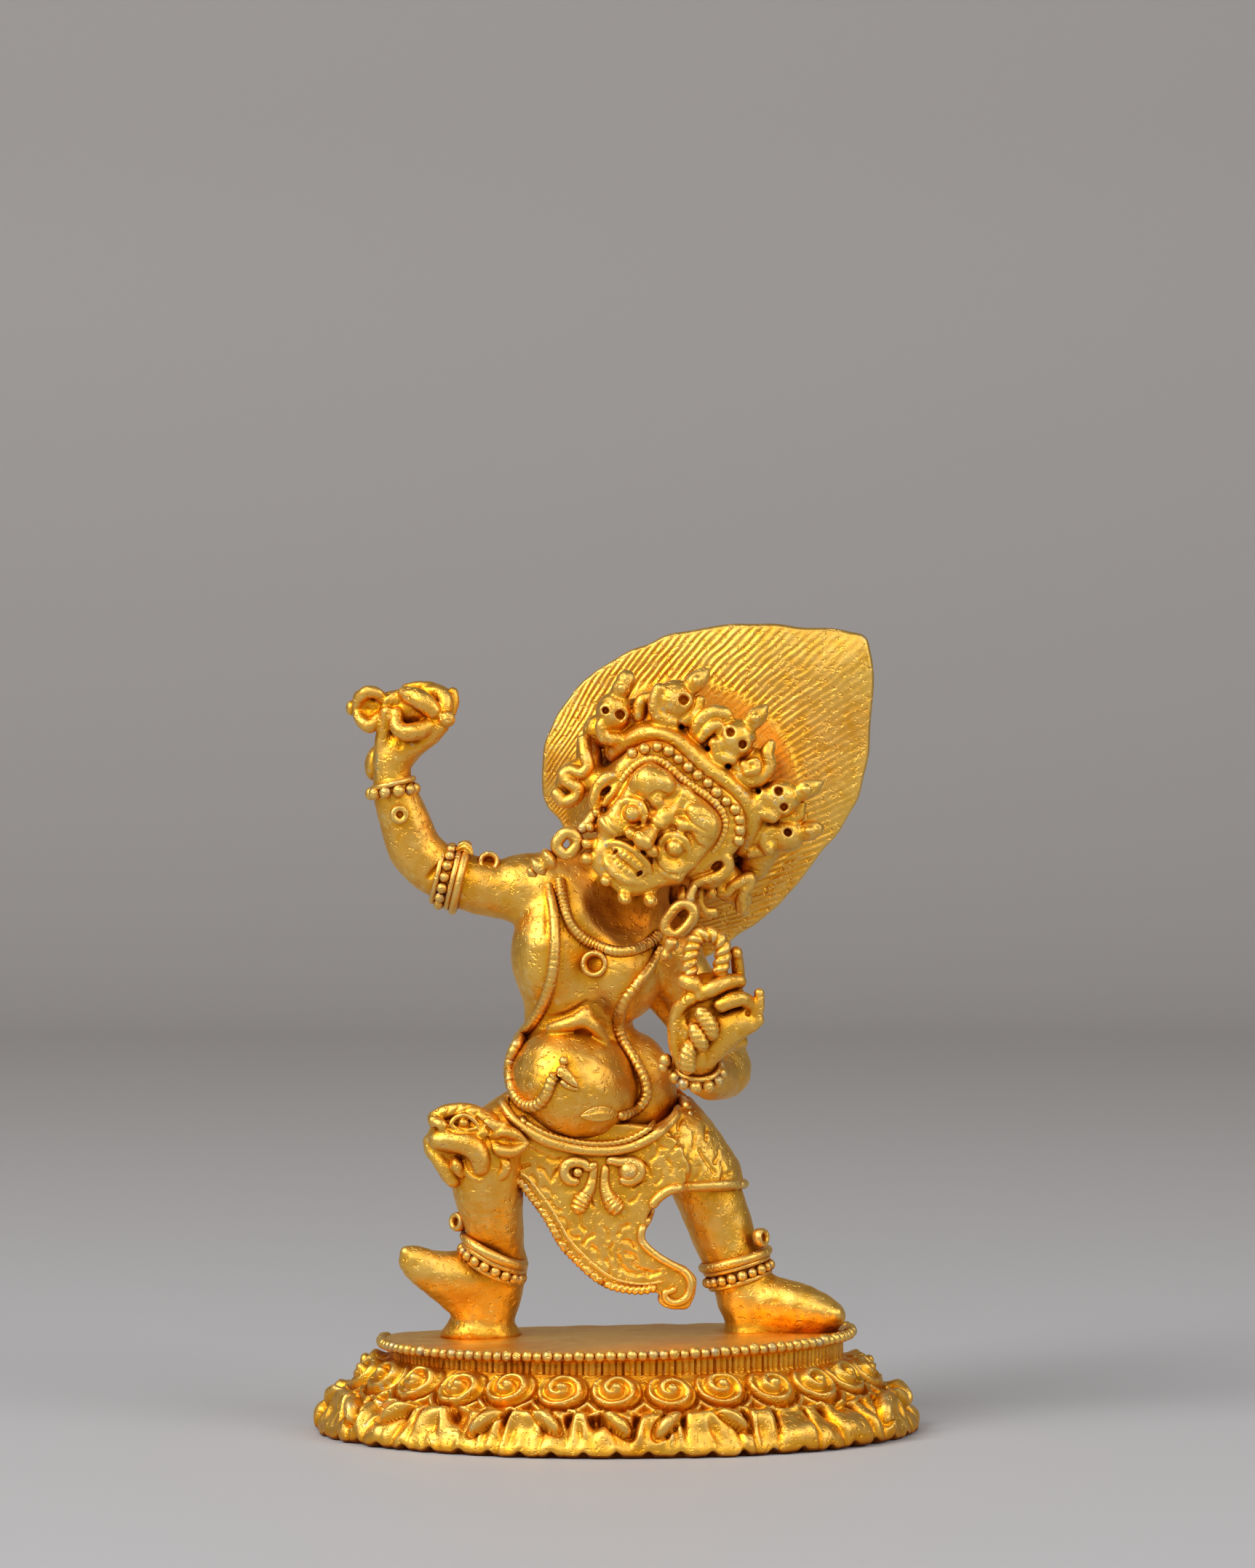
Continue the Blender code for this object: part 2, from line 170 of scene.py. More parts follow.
def egg(centre, radii, lean):
    """An egg: with q the point over the radii, the distance is |q| (|q| - 1) / |q over the radii|."""
    centre, radii = np.asarray(centre, float), np.asarray(radii, float)
    axes = turned(lean)
    spread = np.abs(axes) @ radii

    def distance(x, y, z):
        x, y, z = x - float(centre[0]), y - float(centre[1]), z - float(centre[2])
        own = [float(axes[0, i]) * x + float(axes[1, i]) * y + float(axes[2, i]) * z for i in range(3)]
        q = np.sqrt(sum((p / float(r)) ** 2 for p, r in zip(own, radii)))
        steep = np.sqrt(sum((p / float(r * r)) ** 2 for p, r in zip(own, radii)))
        return q * (q - 1) / np.maximum(steep, 1e-4)

    return [(centre - spread, centre + spread, distance)]


def link(start, end, flat):
    """A tapered link between two balls (x, y, z, radius): the distance to the line between them less
    the radius there. flat below 1 thins it from front to back."""
    start, end = [float(v) for v in start], [float(v) for v in end]
    way = [e - s for s, e in zip(start, end)]
    length = max(way[0] ** 2 + (way[1] / flat) ** 2 + way[2] ** 2, 1e-9)

    def distance(x, y, z):
        x, y, z = x - start[0], (y - start[1]) / flat, z - start[2]
        along = np.clip((x * way[0] + y * (way[1] / flat) + z * way[2]) / length, 0, 1)
        x, y, z = x - along * way[0], y - along * (way[1] / flat), z - along * way[2]
        return np.sqrt(x * x + y * y + z * z) - (start[3] + along * way[3])

    low = [min(s, e) - max(start[3], end[3]) for s, e in zip(start[:3], end[:3])]
    high = [max(s, e) + max(start[3], end[3]) for s, e in zip(start[:3], end[:3])]
    return np.array(low), np.array(high), distance


def limb(stations, steps=5, flat=1.0, closed=False):
    """A smooth limb through stations (x, y, z, radius), as a chain of tapered links."""
    line = smooth_line(stations, steps, closed)
    ends = np.roll(line, -1, axis=0) if closed else line[1:]
    return [link(a, b, flat) for a, b in zip(line, ends)]


class Clay:
    """A block of space between two corners, with the distance to the form's skin on a cubic grid."""

    def __init__(self, low, high, step):
        self.step = step = step * COARSE
        counts = np.ceil(np.subtract(high, low) / step).astype(int) + 1
        self.axes = [(l + step * np.arange(n)).astype(np.float32) for l, n in zip(low, counts)]
        self.depth = np.full(counts, FAR, np.float32)

    def window(self, low, high):
        """The part of the block between two corners: its slices and its open grid of coordinates."""
        cuts = tuple(slice(*np.searchsorted(axis, (a, b))) for axis, a, b in zip(self.axes, low, high))
        x, y, z = (axis[cut] for axis, cut in zip(self.axes, cuts))
        return cuts, (x[:, None, None], y[None, :, None], z[None, None, :])

    def shape_of(self, forms, reach):
        """The slices around some forms, and the distance to the nearest of them there."""
        low = np.min([form[0] for form in forms], axis=0) - reach
        high = np.max([form[1] for form in forms], axis=0) + reach
        cuts, _ = self.window(low, high)
        nearest = np.full(self.depth[cuts].shape, FAR, np.float32)
        for form_low, form_high, distance in forms:
            own, grid = self.window(form_low - reach, form_high + reach)
            inner = tuple(slice(o.start - c.start, o.stop - c.start) for o, c in zip(own, cuts))
            if nearest[inner].size:
                nearest[inner] = np.minimum(nearest[inner], distance(*grid))
        return cuts, nearest

    def add(self, forms, blend):
        """Joins forms to the clay."""
        cuts, nearest = self.shape_of(forms, blend + 3 * self.step)
        self.depth[cuts] = joined(self.depth[cuts], nearest, blend)

    def cut(self, forms, blend):
        """Takes forms out of the clay."""
        cuts, nearest = self.shape_of(forms, blend + 3 * self.step)
        self.depth[cuts] = -joined(-self.depth[cuts], nearest, blend)

    def lump(self, centre, radii, blend, lean=0.0):
        """Joins an egg that leans clockwise in the view."""
        self.add(egg(centre, radii, lean), blend)

    def pit(self, centre, radii, blend, lean=0.0):
        """Takes out an egg that leans clockwise in the view."""
        self.cut(egg(centre, radii, lean), blend)

    def rod(self, stations, blend, **settings):
        """Joins a smooth limb through stations (x, y, z, radius)."""
        self.add(limb(stations, **settings), blend)

    def furrow(self, stations, blend):
        """Takes out a smooth limb."""
        self.cut(limb(stations), blend)

    def raise_by(self, low, high, height):
        """Lifts the skin between two corners by a height that is a formula of the place."""
        cuts, grid = self.window(low, high)
        self.depth[cuts] -= height(*grid).astype(np.float32)

    def front(self, x, z):
        """The y of the skin that faces the viewer at each (x, z). A column that misses the form gives
        the place where it comes nearest."""
        ix = np.clip(np.rint((np.asarray(x) - self.axes[0][0]) / self.step).astype(int), 0,
                     len(self.axes[0]) - 1)
        iz = np.clip(np.rint((np.asarray(z) - self.axes[2][0]) / self.step).astype(int), 0,
                     len(self.axes[2]) - 1)
        columns = self.depth[ix, :, iz]
        first = np.where((columns < 0).any(axis=1), np.argmax(columns < 0, axis=1),
                         np.argmin(columns, axis=1))
        before = np.maximum(first - 1, 0)
        rows = np.arange(len(first))
        outer, inner = columns[rows, before], columns[rows, first]
        share = np.clip(np.where(first > 0, outer / np.maximum(outer - inner, 1e-6), 0.0), 0, 1)
        return self.axes[1][before] + share * self.step

    def skin(self):
        """Points and four-sided faces of the skin. Each cell of the grid that the skin crosses gets one
        point, the mean of its crossings, and each grid edge that it crosses joins four of them."""
        depth = self.depth
        for axis in range(3):
            edge = np.moveaxis(depth, axis, 0)
            for end in (0, -1):
                edge[end] = np.maximum(edge[end], 0.01)
        inside = depth < 0
        corners = [(i, j, k) for i in (0, 1) for j in (0, 1) for k in (0, 1)]
        sizes = np.array(depth.shape) - 1

        def corner_of(grid, corner):
            return grid[tuple(slice(c, c + s) for c, s in zip(corner, sizes))]

        filled = sum(corner_of(inside, corner).astype(np.uint8) for corner in corners)
        cells = np.nonzero((filled > 0) & (filled < 8))
        number = np.full(sizes, -1, np.int32)
        number[cells] = np.arange(len(cells[0]))
        value = np.stack([corner_of(depth, corner)[cells] for corner in corners])
        total = np.zeros((3, len(cells[0])))
        crossings = np.zeros(len(cells[0]))
        for a in range(8):
            for b in range(a + 1, 8):
                if sum(abs(p - q) for p, q in zip(corners[a], corners[b])) != 1:
                    continue
                crosses = (value[a] < 0) != (value[b] < 0)
                gap = np.where(crosses, value[a] - value[b], 1.0)
                share = np.where(crosses, value[a] / gap, 0.0)
                for axis in range(3):
                    place = corners[a][axis] + share * (corners[b][axis] - corners[a][axis])
                    total[axis] += np.where(crosses, place, 0.0)
                crossings += crosses
        start = np.array([axis[0] for axis in self.axes])[:, None]
        points = (start + (np.stack(cells) + total / crossings) * self.step).T
        faces = []
        for axis in range(3):
            ahead = [slice(None)] * 3
            behind = [slice(None)] * 3
            ahead[axis], behind[axis] = slice(1, None), slice(None, -1)
            leaves = inside[tuple(behind)] & ~inside[tuple(ahead)]
            enters = ~inside[tuple(behind)] & inside[tuple(ahead)]
            one, two = (axis + 1) % 3, (axis + 2) % 3
            for crossing, order in ((leaves, (0, 1, 2, 3)), (enters, (3, 2, 1, 0))):
                at = np.stack(np.nonzero(crossing))
                around = []
                for step_one, step_two in ((-1, -1), (0, -1), (0, 0), (-1, 0)):
                    cell = at.copy()
                    cell[one] += step_one
                    cell[two] += step_two
                    around.append(number[tuple(cell)])
                faces.append(np.stack([around[i] for i in order], -1))
        return points, np.concatenate(faces)


# Grids and cords

def grid_faces(rows, columns, closed=True):
    """Four-sided faces between the points of a grid, row by row; closed joins its last column to its
    first."""
    across = np.arange(columns if closed else columns - 1)
    beside = (across + 1) % columns
    row = np.arange(rows - 1)[:, None] * columns
    return np.stack([row + across, row + beside, row + columns + beside, row + columns + across],
                    -1).reshape(-1, 4)


def capped_grid(points):
    """The points and faces of a tube of rings (ring, point, 3), closed by a pole at each end."""
    rings, columns = points.shape[:2]
    flat = points.reshape(-1, 3)
    poles = np.stack([points[0].mean(0), points[-1].mean(0)])
    first, last = len(flat), len(flat) + 1
    near = np.arange(columns)
    beside = (near + 1) % columns
    far = near + (rings - 1) * columns
    start = np.stack([np.full(columns, first), beside, near], -1)
    end = np.stack([np.full(columns, last), far, beside + (rings - 1) * columns], -1)
    return np.concatenate([flat, poles]), grid_faces(rings, columns), np.concatenate([start, end])


def cord(line, radius, outward, sides=10, closed=False):
    """A round profile carried along a line. outward is the way its first side faces; radius is one
    number, one for each point, or one for each point and side."""
    line = np.asarray(line, float)
    if closed:
        way = np.roll(line, -1, axis=0) - np.roll(line, 1, axis=0)
    else:
        way = np.gradient(line, axis=0)
    way /= np.linalg.norm(way, axis=1, keepdims=True)
    outward = np.broadcast_to(np.asarray(outward, float), line.shape)
    aside = np.cross(way, outward)
    aside /= np.linalg.norm(aside, axis=1, keepdims=True)
    up = np.cross(aside, way)
    angle = turns_of(sides)
    radius = np.broadcast_to(np.asarray(radius, float).reshape(len(np.atleast_1d(radius)), -1),
                             (len(line), sides)).copy()
    if not closed:
        run = run_along(line)
        thick = radius.mean()
        from_end = np.minimum(run, run[-1] - run)
        radius *= np.sqrt(np.clip(1 - (1 - from_end / thick) ** 2, 0.02, 1) * (from_end < thick)
                          + (from_end >= thick))[:, None]
    points = (line[:, None] + radius[..., None] * (np.cos(angle)[None, :, None] * up[:, None]
                                                   + np.sin(angle)[None, :, None] * aside[:, None]))
    if closed:
        count = len(line)
        near = np.arange(count * sides).reshape(count, sides)
        far, beside = np.roll(near, -1, axis=0), np.roll(near, -1, axis=1)
        faces = np.stack([near, beside, np.roll(far, -1, axis=1), far], -1).reshape(-1, 4)
        return points.reshape(-1, 3), faces, np.zeros((0, 3), int)
    return capped_grid(points)


def beads(centres, radii, columns=10, rows=5):
    """Balls at the centres: sine and cosine of height and turn, with a pole at each end."""
    centres = np.asarray(centres, float)
    radii = np.broadcast_to(np.asarray(radii, float).reshape(-1, 1), (len(centres), 1))
    height = (np.arange(rows) + 1) * math.pi / (rows + 1)
    turn = turns_of(columns)
    ring = np.stack([np.sin(height)[:, None] * np.cos(turn), np.sin(height)[:, None] * np.sin(turn),
                     -np.cos(height)[:, None] * np.ones(columns)], -1)
    points, quads, ends = capped_grid(ring)
    points[-2:] = [[0, 0, -1], [0, 0, 1]]
    step = np.arange(len(centres))[:, None, None] * len(points)
    cloud = centres[:, None] + radii[:, None] * points
    return cloud.reshape(-1, 3), (quads + step).reshape(-1, 4), (ends + step).reshape(-1, 3)


def gathered(shapes):
    """Several (points, quads, triangles) as one."""
    points, quads, ends, count = [], [], [], 0
    for shape in shapes:
        points.append(shape[0])
        quads.append(np.asarray(shape[1]) + count)
        ends.append(np.asarray(shape[2]).reshape(-1, 3) + count)
        count += len(shape[0])
    return np.concatenate(points), np.concatenate(quads), np.concatenate(ends)


def ring_round(centre, axis, radius, bulge, count):
    """Points round an axis. bulge makes the ring deeper than it is wide."""
    axis = np.asarray(axis, float) / np.linalg.norm(axis)
    aside = np.cross(axis, (0, 1, 0))
    aside /= np.linalg.norm(aside)
    deep = np.cross(axis, aside)
    angle = turns_of(count)
    return (np.asarray(centre, float) + radius * np.cos(angle)[:, None] * aside
            + radius * bulge * np.sin(angle)[:, None] * deep)


def piece(name, shape, material):
    """A finished object from (points, quads, triangles) drawn on the figure. It rides on the body."""
    points, quads = to_frame(shape[0]), np.asarray(shape[1])
    ends = np.asarray(shape[2]).reshape(-1, 3) if len(shape) > 2 else np.zeros((0, 3), int)
    corners = np.concatenate([quads.ravel(), ends.ravel()]).astype(np.int32)
    starts = np.concatenate([np.arange(len(quads)) * 4, quads.size + np.arange(len(ends)) * 3])
    mesh = bpy.data.meshes.new(name)
    mesh.vertices.add(len(points))
    mesh.vertices.foreach_set("co", points.astype(np.float32).ravel())
    mesh.loops.add(len(corners))
    mesh.loops.foreach_set("vertex_index", corners)
    mesh.polygons.add(len(starts))
    mesh.polygons.foreach_set("loop_start", starts.astype(np.int32))
    mesh.update(calc_edges=True)
    mesh.validate()
    mesh.shade_smooth()
    mesh.materials.append(material)
    obj = bpy.data.objects.new(name, mesh)
    bpy.context.scene.collection.objects.link(obj)
    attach(obj, BODY)
    return obj


# The lotus base

def plan(share, half, front, back):
    """The D-shaped plan at shares of its length from the middle of the front: an ellipse ahead of the
    feet line and a squarer curve, with sine and cosine to the power 0.55, behind it."""
    turn = np.linspace(-math.pi / 2, 1.5 * math.pi, 2881)
    cosine, sine = np.cos(turn), np.sin(turn)
    power = np.where(sine < 0, 1.0, 0.55)
    x = half * np.sign(cosine) * np.abs(cosine) ** power
    y = np.where(sine < 0, front, back) * np.sign(sine) * np.abs(sine) ** power
    run = np.append(0.0, np.cumsum(np.hypot(np.diff(x), np.diff(y))))
    stops = np.asarray(share) * run[-1]
    return np.interp(stops, run, x), np.interp(stops, run, y), run[-1]


def rings_of(profile, columns):
    """Rings of the base for a profile of (half width, front, back, height) rows: (ring, column, 3)."""
    share = np.arange(columns) / columns
    rings = []
    for half, front, back, height in profile:
        x, y, _ = plan(share, half, front, back)
        rings.append(np.stack([x, y, np.full(columns, height)], -1))
    return np.array(rings)


def outward_of(rings):
    """The unit normal at each point of closed rings, from the slopes along and across them."""
    along = np.roll(rings, -1, axis=1) - np.roll(rings, 1, axis=1)
    across = np.gradient(rings, axis=0)
    normal = np.cross(along, across)
    return normal / np.maximum(np.linalg.norm(normal, axis=2, keepdims=True), 1e-9)


def level(out, height):
    """A ring between the drum at out 0 and the widest of the skirt at out 1."""
    return (DRUM_HALF + (SKIRT_HALF - DRUM_HALF) * out, DRUM_FRONT + (SKIRT_FRONT - DRUM_FRONT) * out,
            DRUM_BACK + (SKIRT_BACK - DRUM_BACK) * out, height)


def bump(distance, width):
    """A soft ridge: 1 in the middle, falling to nothing as the bell curve does."""
    return np.exp(-(distance / width) ** 2)


def lotus_relief(across, down, pitch, scroll, petals):
    """How far the carving stands out of the cone. across is the distance from the middle of a scroll,
    down the distance below the drum, both in mm, scroll the number of that scroll, and petals the
    place round the base counted in petals.

    A scroll is a dome with a ridge that winds with the angle, a ball in its middle and a groove round
    it. Below hang rounded folds of uneven width, parted by valleys that fade towards the edge, with a
    drilled hole at the head of each valley and a leaning tongue under most scrolls."""
    sway = 0.16 * np.sin(scroll * 4.1)
    radius = np.hypot(across + 0.5 * sway, (down - 1.75 + sway) * 1.04)
    angle = np.arctan2(down - 1.75 + sway, across + 0.5 * sway)
    dome = 0.95 * np.sqrt(np.clip(1 - (radius / 1.9) ** 2, 0, 1))
    wind = 0.2 * np.cos(2 * math.pi * radius / 0.98 - angle - 1.2 + 0.6 * np.sin(scroll * 2.4))
    wind *= np.clip((1.75 - radius) / 0.25, 0, 1) * np.clip((radius - 0.3) / 0.15, 0, 1)
    ball = 0.42 * np.sqrt(np.clip(1 - (radius / 0.4) ** 2, 0, 1))
    height = dome + wind + ball - 0.45 * bump(radius - 1.93, 0.13)
    collar = 0.55 * bump(radius - 2.25, 0.26) * np.clip((down - 1.2) / 1.2, 0, 1)
    height = np.where(radius < 1.98, height, collar)

    lean = 0.13 * (down - 4.6) * np.sin(petals * 1.27)
    warped = petals + 0.24 * np.sin(petals * 2.4 + 1) + 0.13 * np.sin(petals * 5.3) + lean
    number = np.floor(warped)
    draw = np.modf(np.abs(np.sin(number * 12.9898) * 437.585))[0]
    aside = (warped - number - 0.5) * 2
    crowned = np.clip(1 - np.abs(aside) ** 2.6, 0, 1) ** 0.6
    floor = 0.6 * np.clip((down - 5.3) / 1.3, 0, 1)
    swell = (0.7 + 0.45 * draw) * (0.8 + 0.25 * np.sin(down * 1.9 + 6 * draw))
    low = floor + (np.maximum(swell, floor) - floor) * crowned
    low = low - 0.45 * bump(aside, 0.35) * bump(down - 5.4, 0.7) * (draw > 0.6)
    turn = np.radians(40 * np.sign(np.sin(scroll * 3.3 + 0.4)))
    side, drop = across - 0.7 * np.sin(scroll * 5.1), down - 4.75 - 0.25 * np.sin(scroll * 2.7)
    along = (side * np.cos(turn) + drop * np.sin(turn)) / 1.35
    apart = (drop * np.cos(turn) - side * np.sin(turn)) / 0.52
    tongue = 0.4 + 1.0 * np.sqrt(np.clip(1 - along ** 2 - apart ** 2, 0, 1))
    inside = (along ** 2 + apart ** 2 < 1) & (np.sin(scroll * 7.7) > -0.5)
    low = np.where(inside, np.maximum(low, tongue),
                   low - 0.35 * bump(np.hypot(along, apart) - 1.12, 0.14) * (np.sin(scroll * 7.7) > -0.5))
    stretch = np.where(down > 4.15, 0.45, 1.0)
    hole = 0.85 * bump(np.hypot((np.abs(aside) - 1) * pitch / 4, (down - 4.15) * stretch),
                       0.27) * (1 - inside)
    lower = np.clip((down - 3.6) / 0.6, 0, 1)
    height = height * (1 - lower) + low * lower
    lip = 0.6 * bump(down - (3.65 - 0.3 * np.cos(across / pitch * 2 * math.pi)), 0.28) * (radius > 1.98)
    return np.maximum(height, lip) - hole


def lotus_skirt(sizes):
    """The skirt of the base. Its cone runs from the underside out to the petal tips and in to the
    drum, and each point stands out along the normal by the relief."""
    scrolls = sizes.scroll_count
    columns, rows = 42 * scrolls, 74
    knots = [(0.84, 0.0), (0.89, 0.25), (0.905, 0.7), (0.84, 1.5), (0.68, 2.3), (0.5, 3.05), (0.36, 3.65),
             (0.24, 4.25), (0.12, 4.85), (0.0, 5.4)]
    line = smooth_line(knots, 12)
    stops = np.linspace(0, len(line) - 1, rows)
    out = np.interp(stops, np.arange(len(line)), line[:, 0])
    height = np.interp(stops, np.arange(len(line)), line[:, 1])
    rings = rings_of([level(o, h) for o, h in zip(out, height)], columns)
    share = np.arange(columns)[None, :] / columns
    scroll = np.round(share * scrolls)
    lengths = np.linalg.norm(np.roll(rings, -1, axis=1) - rings, axis=2).sum(1)[:, None]
    pitch = lengths / scrolls
    across = (share * scrolls - scroll) * pitch
    run = run_along(rings[:, columns // 4])
    down = (run[-1] - run)[:, None] * (7.2 / run[-1])
    petals = share * scrolls * 2 + 0.5
    relief = lotus_relief(across, down, pitch, scroll % scrolls, petals)
    relief = relief + 0.05 * noise(*np.moveaxis(rings, 2, 0), size=1.1, seed=3)
    foot = np.clip(height / 0.4, 0.35, 1)[:, None]
    top = np.clip((5.4 - height) / 0.5, 0, 1)[:, None]
    moved = rings + outward_of(rings) * (relief * foot * top)[..., None]
    scallop = 0.42 * bump(np.abs(np.modf(share * scrolls * 2)[0] * 2 - 1) - 1, 0.3)
    moved[..., 2] += scallop * np.clip(1 - height / 1.6, 0, 1)[:, None] * (height > 0)[:, None]
    moved[..., 2] = np.clip(moved[..., 2], 0, None)
    edge = plan_box(moved)
    underside = rings_of([level(o, 0.0) for o in (0.2, 0.7)], columns)
    inside = rings_of([level(o, h) for o, h in ((-0.4, 5.3), (-1.2, 5.2))], columns)
    return capped_grid(np.concatenate([underside, edge, inside]))


def plan_box(rings):
    """The rings kept inside the base's own plan box."""
    kept = rings.copy()
    kept[..., 0] = np.clip(rings[..., 0], -SKIRT_HALF - 0.55, SKIRT_HALF + 0.55)
    kept[..., 1] = np.clip(rings[..., 1], -SKIRT_FRONT - 0.5, SKIRT_BACK + 0.4)
    return kept


def tilt(points):
    """The plate of this casting rises a little to the right: its height grows with x above the skirt."""
    points = np.array(points)
    points[..., 2] += 0.0215 * points[..., 0] * np.clip((points[..., 2] - 5.0) / 1.6, 0, 1)
    return points


def rim(out, height):
    """A ring of the plate, out mm beyond its edge."""
    return (RIM_HALF + out, RIM_FRONT + out, RIM_BACK + out, height)


def lotus_drum(sizes):
    """The drum with its upright flutes, each a groove cut with a raised cosine, and the plate."""
    flutes = int(round(0.088 / sizes.flute_pitch))
    columns = 6 * flutes
    share = np.arange(columns) / columns
    foot = [level(0.06, 4.9), level(0.02, 5.25)]
    wall = [level(0.0, height) for height in np.linspace(5.4, 6.3, 9)] + [level(0.03, 6.42)]
    edge = [rim(-0.1, 6.5), rim(0.0, 6.62), rim(0.0, 6.86), rim(-0.12, 6.98)]
    plate = [(RIM_HALF * inward, RIM_FRONT * inward, RIM_BACK * inward, PLATE_TOP)
             for inward in (0.97, 0.9, 0.8, 0.66, 0.5, 0.34, 0.18, 0.06)]
    rings = rings_of(foot + wall + edge + plate, columns)
    wander = 0.5 * noise(share * 40, size=1.0, seed=8)
    groove = np.clip(np.cos(share * flutes * 2 * math.pi + wander) - 0.35, 0, 1) / 0.65
    depth = 0.26 * groove * (0.7 + 0.3 * np.sin(share * 390))
    heights = rings[:, 0, 2]
    tall = np.clip((heights - 4.9) / 0.25, 0, 1) * np.clip((6.38 - heights) / 0.12, 0, 1)
    rings = rings - outward_of(rings) * (tall[:, None] * depth[None, :])[..., None]
    cast = len(foot + wall) + 1
    rings[cast:, :, 2] += 0.035 * noise(rings[cast:, :, 0], rings[cast:, :, 1], size=3.2, seed=5)
    floor = rings_of([level(-1.5, 4.8)], columns)
    return capped_grid(tilt(np.concatenate([floor, rings])))


def rim_beads(sizes):
    """The row of beads on the front and the sides of the plate's edge, each worn a little differently."""
    across = sizes.bead_diameter / MM
    _, _, length = plan(0.0, RIM_HALF, RIM_FRONT, RIM_BACK)
    count = int(round(length / (across * 0.98)))
    share = (np.arange(count) + 0.5) / count
    share = share[np.abs(share - 0.5) > 0.2]
    x, y, _ = plan(share, RIM_HALF + 0.02, RIM_FRONT + 0.02, RIM_BACK + 0.02)
    wear = noise(share * 50, size=1.0, seed=4)
    centres = np.stack([x, y, np.full(len(share), 6.8)], -1)
    centres[:, 2] += 0.03 * wear
    return beads(tilt(centres), across / 2 * (1.06 + 0.1 * wear), 12, 7)


# The nimbus of flaming hair

NIMBUS_CENTRE = (4.9, 38.6)
NIMBUS_EDGE = [(-3.7, 36.4), (-4.9, 38.0), (-5.35, 40.2), (-4.95, 42.9), (-3.9, 45.1), (-2.2, 47.1),
               (-0.1, 48.6), (2.2, 49.7), (4.9, 50.6), (8.3, 51.1), (11.2, 51.1), (14.2, 50.9),
               (16.6, 50.55), (17.95, 50.3), (18.35, 49.2), (18.5, 46.4), (18.3, 43.2), (17.8, 39.9),
               (16.8, 37.3), (14.95, 34.9), (12.9, 32.2), (10.9, 30.2), (8.8, 28.7), (5.4, 26.8),
               (1.0, 28.0), (-2.2, 32.2)]

# The point low on the left that the strands fan out from
HAIR_SOURCE = (-15.4, 23.9)


def nimbus(sizes):
    """Upright grid round the head. Its front leans back from the hair at the crown to the rim. The
    hair is combed up and to the right: a sine of the angle about a point low on the left, which fades
    towards the tip."""
    columns, rows = 960, 96
    edge = smooth_line(NIMBUS_EDGE, 12, closed=True)
    away = edge - NIMBUS_CENTRE
    turn = np.unwrap(np.arctan2(away[:, 1], away[:, 0]))
    order = np.argsort(-turn)
    turn_at = np.linspace(turn[order][0], turn[order][0] - 2 * math.pi, columns, endpoint=False)
    reach = np.interp(-turn_at, np.append(-turn[order], -turn[order][0] + 2 * math.pi),
                      np.append(np.hypot(*away.T)[order], np.hypot(*away.T)[order][0]))
    reach = reach * (1 + 0.006 * noise(turn_at * 3, size=1.0, seed=2))
    share = np.linspace(0.3, 1.0, rows)[:, None]
    radius = share * reach
    x = NIMBUS_CENTRE[0] + radius * np.cos(turn_at)
    z = NIMBUS_CENTRE[1] + radius * np.sin(turn_at)
    rise = np.clip((radius - 5.2) / 3.6, 0, 1)
    y = -1.9 + 4.6 * (rise * rise * (3 - 2 * rise)) + 0.35 * share ** 8
    combed = np.arctan2(z - HAIR_SOURCE[1], x - HAIR_SOURCE[0]) * sizes.hair_locks
    combed = combed + 1.1 * noise(x, z, size=6, seed=6) + 0.5 * noise(x, z, size=2.2, seed=7)
    hair = np.cos(combed) + 0.3 * noise(combed * 0.3, radius * 0.2, size=1.0, seed=8)
    fade = np.clip((x - 8.5) / 6.0, 0, 1) * np.clip((z - 34.0) / 5.0, 0, 1)
    strength = 0.062 * (1 - 0.72 * fade) * np.clip((1.0 - share) / 0.03, 0, 1)
    strength = strength * (0.75 + 0.3 * noise(x, z, size=2.4, seed=9))
    pits = 0.1 * np.clip(noise(x, z, size=0.9, seed=12), 0, 1) * bump(radius - 6.5, 1.3)
    swell = 0.12 * noise(x, z, size=7.0, seed=13)
    y = y - strength * hair + pits + swell
    front = np.stack([x, y, z], -1)
    thick = sizes.nimbus_thickness / MM
    rim_share = np.array([1.012, 1.012, 1.0, 0.93, 0.8, 0.6, 0.4])[:, None]
    rim_depth = np.array([0.25, 0.75, 1.0, 1.12, 1.2, 1.25, 1.25])[:, None]
    back_y = np.broadcast_to(y[-1:].mean() + thick * rim_depth, (len(rim_share), columns))
    back = np.stack([NIMBUS_CENTRE[0] + rim_share * reach * np.cos(turn_at), back_y,
                     NIMBUS_CENTRE[1] + rim_share * reach * np.sin(turn_at)], -1)
    return capped_grid(np.concatenate([front, back]))


# The trunk and the arms

def hammered(clay, height=0.03, size=1.6, seed=20):
    """Lifts a whole skin by a soft unevenness, the mark of wax worked by hand."""
    low = [axis[0] for axis in clay.axes]
    high = [axis[-1] + clay.step for axis in clay.axes]
    clay.raise_by(low, high, lambda x, y, z: height * noise(x, y, z, size=size, seed=seed)
                  + 0.4 * height * noise(x, y, z, size=size * 0.35, seed=seed + 1))


def laid(clay, stations, steps=8, lift=0.0, closed=False):
    """A smooth line through (x, z) stations, laid on the front of the skin and eased along its run."""
    line = smooth_line(stations, steps, closed)
    y = clay.front(line[:, 0], line[:, 1])
    for _ in range(4):
        padded = np.concatenate([y[-1:], y, y[:1]]) if closed else np.pad(y, 1, mode="edge")
        y = (padded[:-2] + 2 * y + padded[2:]) / 4
    return np.stack([line[:, 0], y - lift, line[:, 1]], -1)


def spot_on(clay, spot, lift=0.0):
    """The place on the front of the skin at one (x, z)."""
    return laid(clay, [spot, (spot[0] + 0.01, spot[1])], 2, lift)[0]


